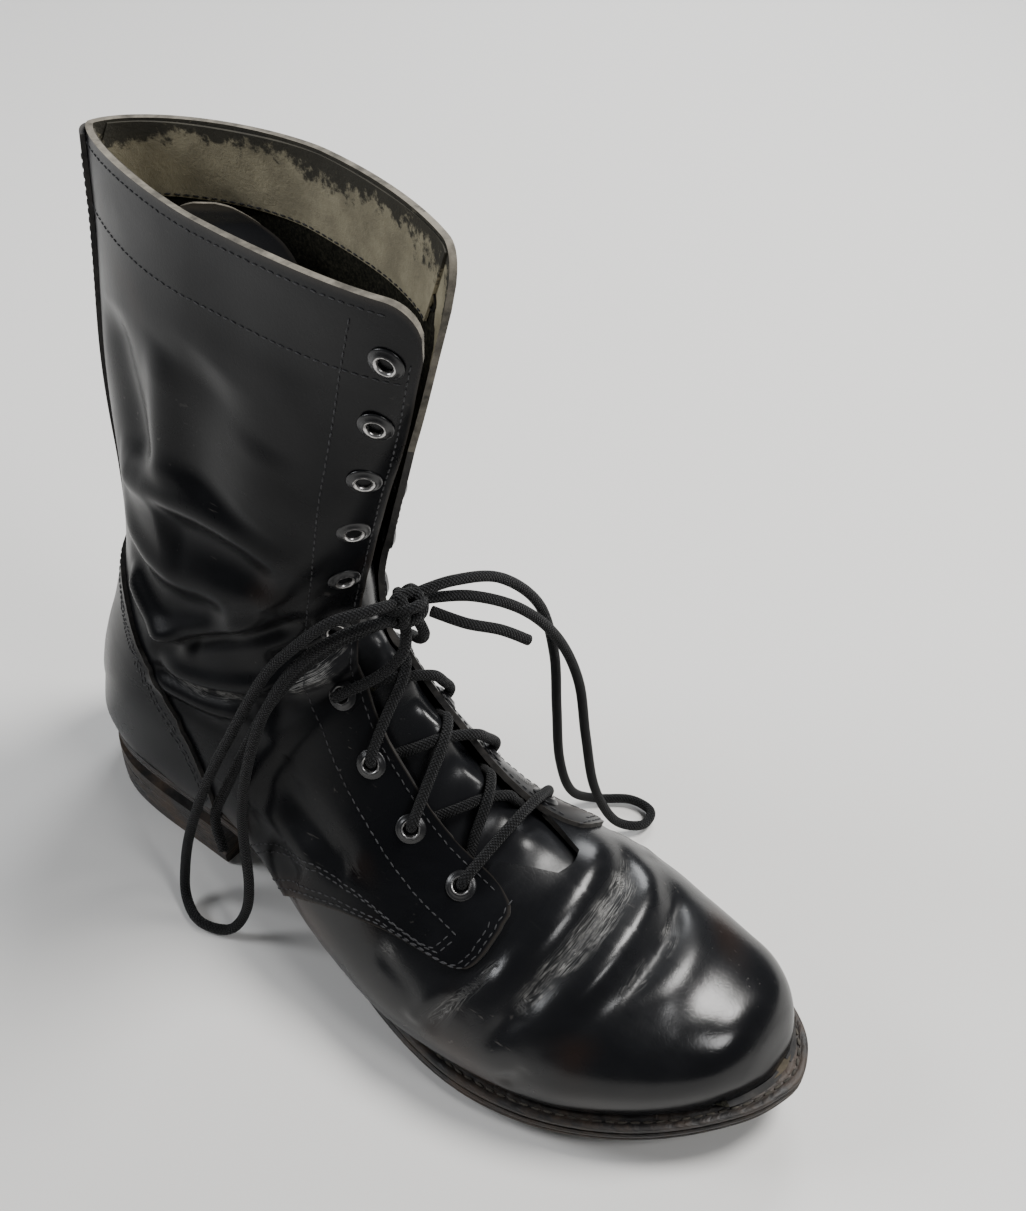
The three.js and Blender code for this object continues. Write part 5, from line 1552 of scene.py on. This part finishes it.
def crossing(start, end, middle_lift, over_first=True):
    """The lace from one eyelet, over the facing's edge and across the throat, to under the other eyelet."""
    (side_a, k_a), (side_b, k_b) = start, end
    place = {side: eyelet_places(side) for side in (LATERAL, MEDIAL)}
    v_a, v_b = place[side_a][0][k_a], place[side_b][0][k_b]
    inset_a, inset_b = slit(v_a, side_a) + EYELET_IN, slit(v_b, side_b) + EYELET_IN
    total = inset_a + inset_b

    def at(share, lift):
        v = v_a + (v_b - v_a) * share
        signed = side_a * (inset_a - total * share)
        side = LATERAL if signed < 0 else MEDIAL
        d = np.array([max(abs(signed), 0.8)])
        return on_form([v], side, d)[0] + normals_on([v], side, d)[0] * lift

    outside = [at(0.0, -3.6), at(0.01, 0.5), at(0.05, 3.4), at(0.16, 3.1), at(0.3, 2.4)]
    under = [at(0.0, -3.6), at(0.07, -UNDER - 0.3), at(0.2, -UNDER), at(0.32, -1.6)]
    onward = [at(0.5, middle_lift), at(0.68, -1.6 if middle_lift > 0 else -2.6), at(0.8, -UNDER),
              at(0.93, -UNDER - 0.3), at(1.0, -3.6)]
    return (outside if over_first else under) + onward


class MakeLacing(bpy.types.Operator):
    """Runs the lace through the lower eyelets, criss-cross, up to the knot"""

    bl_idname = "boot.lacing"
    bl_label = "Lacing"

    def execute(self, context):
        parts = []
        bar = crossing((MEDIAL, 0), (LATERAL, 0), 2.6)
        mirrored = crossing((LATERAL, 0), (MEDIAL, 0), 2.6)
        parts.append(tube("bar", bar[:6] + mirrored[:5][::-1], sizes().lace))
        for first, lift in ((LATERAL, 0.6), (MEDIAL, -2.6)):
            side = first
            for k in range(LACED - 1):
                other = -side
                height = lift if k % 2 == 0 else (-2.6 if lift > 0 else 0.6)
                points = crossing((side, k), (other, k + 1), height, over_first=k > 0)
                parts.append(tube("strand", points, sizes().lace))
                side = other
            _, places, normals = eyelet_places(side)
            hole, normal = places[LACED - 1], normals[LACED - 1]
            knot = np.array(KNOT, float)
            rise = [hole - normal * 3.6, hole + normal * 0.5, hole + normal * 3.6]
            rise.append(hole * 0.65 + knot * 0.35 + np.array((7, side * 0.5, 0)))
            rise.append(hole * 0.3 + knot * 0.7 + np.array((8, side * 0.5, -2)))
            rise.append(knot + np.array((1.5, side * 2.0, -3.0)))
            parts.append(tube("rise", rise, sizes().lace))
        lacing = join(parts, "lacing_piece")
        dress(lacing, "lace braid")
        finish_piece(lacing, ["lacing"])
        return {"FINISHED"}


class MakeSeams(bpy.types.Operator):
    """Sews collar, facings, quarters and counter"""

    bl_idname = "boot.seams"
    bl_label = "Seams"

    def execute(self, context):
        rows = []
        for side in (LATERAL, MEDIAL):
            full = run_of(half_lines(np.array([COLLAR_ROW]), side))[0, -1]
            begin = float(slit(np.array([COLLAR_ROW]), side)[0])
            for below, from_facing, to_edge in COLLAR_SEAMS:
                d = np.linspace(begin + from_facing, full, 90)
                rows.append(seam(side, np.full(90, COLLAR_ROW - below), d, to_edge))
            for first, last, to_edge in FACING_SEAMS:
                v = np.linspace(first, last, 240)
                rows.append(seam(side, v, slit(v, side) + to_edge, to_edge))
            share = np.linspace(0, 1, 160)
            front = start_rows(share, side, True)
            for inside, to_edge, from_facing in FRONT_SEAMS:
                vs = front + inside
                run = run_of(half_lines(vs, side))
                d = slit(vs, side) + (run[:, -1] - slit(vs, side)) * share
                keep = (share < 0.97) & (d > slit(vs, side) + from_facing)
                rows.append(seam(side, vs[keep], d[keep], to_edge))
            rows += counter_seams(side)
        stitches = stitch_row("leather_stitches", rows, sizes().pitch, sizes().stitch, 0.6)
        dress(stitches, "thread")
        finish_piece(stitches)
        return {"FINISHED"}


def counter_seams(side):
    """Two rows along the counter's edge and one down each side of the backstay."""
    rows = []
    vs = np.linspace(15.3, 23.2, 150)
    lines = half_lines(vs, side)
    run = run_of(lines)
    for inside in COUNTER_SEAMS:
        d = []
        for i in range(len(vs)):
            below = np.nonzero(lines[i, :, 2] < counter_top(lines[i, :, 0]))[0]
            d.append(min(run[i, below[0]] + inside, run[i, -1]) if len(below) else run[i, -1])
        rows.append(seam(side, vs, np.array(d), offset=OVERLAY + 0.3))
    v = np.linspace(23.4, 30.5, 120)
    d = run_of(half_lines(v, side))[:, -1] - 4.6
    rows.append(seam(side, v, d, offset=OVERLAY + 0.3))
    return rows


class MakeMaterials(bpy.types.Operator):
    """Mixes the finishes of leather, suede, lace, metal and rubber"""

    bl_idname = "boot.materials"
    bl_label = "Materials"

    def execute(self, context):
        c = colours()
        make_grain_group()
        make_scuff_group()
        polish = tuple(c.polish)
        polished_leather("polished leather", polish, 0.24, 0.5)
        polished_leather("polished toe", shade(polish, 1.05), 0.17, 0.6, 0.29)
        polished_leather("tongue leather", shade(polish, 1.3), 0.2, 0.3, 0.35)
        plain_material("raw edge", shade(c.raw, 0.22), shade(c.raw, 0.85), 190.0, 0.92, (0.03, 0.027, 0.024))
        plain_material("cut edge", (0.01, 0.01, 0.011), (0.048, 0.044, 0.04), 220.0, 0.75)
        plain_material("thread", shade(c.thread, 0.6), shade(c.thread, 2.4), 900.0, 0.7)
        plain_material("welt thread", shade(c.welt_thread, 0.35), tuple(c.welt_thread), 500.0, 0.85)
        plain_material("insole board", (0.05, 0.042, 0.03), (0.14, 0.115, 0.08), 120.0, 0.9)
        suede_material(c)
        braid_material(tuple(c.lace))
        eyelet_material(c)
        edge_material("sole side", c, 0.55)
        edge_material("sole rubber side", c, 0.9)
        return {"FINISHED"}


# The studio's lamps: name, place, aim, diameter, power, colour
LIGHTS = [
    ("overhead", (0.52, 0.55, 1.42), (0.12, 0, 0.05), 0.56, 26, (1, 0.985, 0.96)),
    ("left window", (-1.15, -0.75, 0.95), (0.03, 0, 0.12), 0.6, 14, (0.95, 0.97, 1)),
    ("right strip", (1.1, -0.05, 1.25), (0.12, 0, 0.05), 0.4, 6, (1, 1, 1)),
    ("back", (-0.35, 1.2, 0.9), (0.05, 0, 0.15), 0.6, 12, (0.96, 0.98, 1)),
]
AIR_COLOUR = (0.93, 0.96, 1.0, 1)
AIR_LIGHT = 0.13


class MakeStage(bpy.types.Operator):
    """Lays the pale floor and sets the studio lights"""

    bl_idname = "boot.stage"
    bl_label = "Stage"

    def execute(self, context):
        deselect()
        bpy.ops.mesh.primitive_plane_add(size=8)
        floor = context.active_object
        floor.name = "floor"
        plain = bpy.data.materials.new("floor")
        plain.use_nodes = True
        n = Nodes(plain.node_tree)
        shader = plain.node_tree.nodes["Principled BSDF"]
        place = n.add("ShaderNodeTexCoord").outputs["Object"]
        tone = n.ramp(n.noise(place, 3.0, 2.0), 0.2, 0.8)
        colour = tuple(colours().floor)
        n.tree.links.new(n.mix(tone, shade(colour, 0.985), colour), shader.inputs["Base Color"])
        shader.inputs["Roughness"].default_value = 0.8
        shader.inputs["Specular IOR Level"].default_value = 0.2
        floor.data.materials.append(plain)
        world = bpy.data.worlds.new("studio")
        context.scene.world = world
        world.use_nodes = True
        background = world.node_tree.nodes["Background"]
        background.inputs["Color"].default_value = AIR_COLOUR
        background.inputs["Strength"].default_value = AIR_LIGHT
        for name, place, target, size, power, colour in LIGHTS:
            aim = (Vector(target) - Vector(place)).to_track_quat("-Z", "Y").to_euler()
            bpy.ops.object.light_add(type="AREA", location=place, rotation=aim)
            light = context.active_object
            light.name = name
            light.data.shape = "DISK"
            light.data.size = size
            light.data.energy = power
            light.data.color = colour
        return {"FINISHED"}


OPERATORS = [MakeCamera, MakeMaterials, MakeKnot, MakeCords, MakeSole, MakeWelt, MakeUpper, MakeOverlays,
             MakeCollarBand, MakeTongue, MakeEyelets, MakeLacing, MakeSeams, MakeStage]


class BootPanel(bpy.types.Panel):
    """Lists the pieces of the boot and its sizes"""

    bl_idname = "VIEW3D_PT_boot"
    bl_label = "Combat boot"
    bl_space_type = "VIEW_3D"
    bl_region_type = "UI"
    bl_category = "Boot"

    def draw(self, context):
        column = self.layout.column()
        for group in (context.scene.boot_sizes, context.scene.boot_colours):
            for name in group.__annotations__:
                column.prop(group, name)
        for operator in OPERATORS:
            column.operator(operator.bl_idname)


CLASSES = [BootSizes, BootColours, *OPERATORS, BootPanel]


def register():
    for cls in CLASSES:
        bpy.utils.register_class(cls)
    bpy.types.Scene.boot_sizes = PointerProperty(type=BootSizes)
    bpy.types.Scene.boot_colours = PointerProperty(type=BootColours)


def unregister():
    del bpy.types.Scene.boot_colours
    del bpy.types.Scene.boot_sizes
    for cls in reversed(CLASSES):
        bpy.utils.unregister_class(cls)


def main():
    register()
    for operator in OPERATORS:
        category, name = operator.bl_idname.split(".")
        getattr(getattr(bpy.ops, category), name)()


if __name__ == "__main__":
    main()
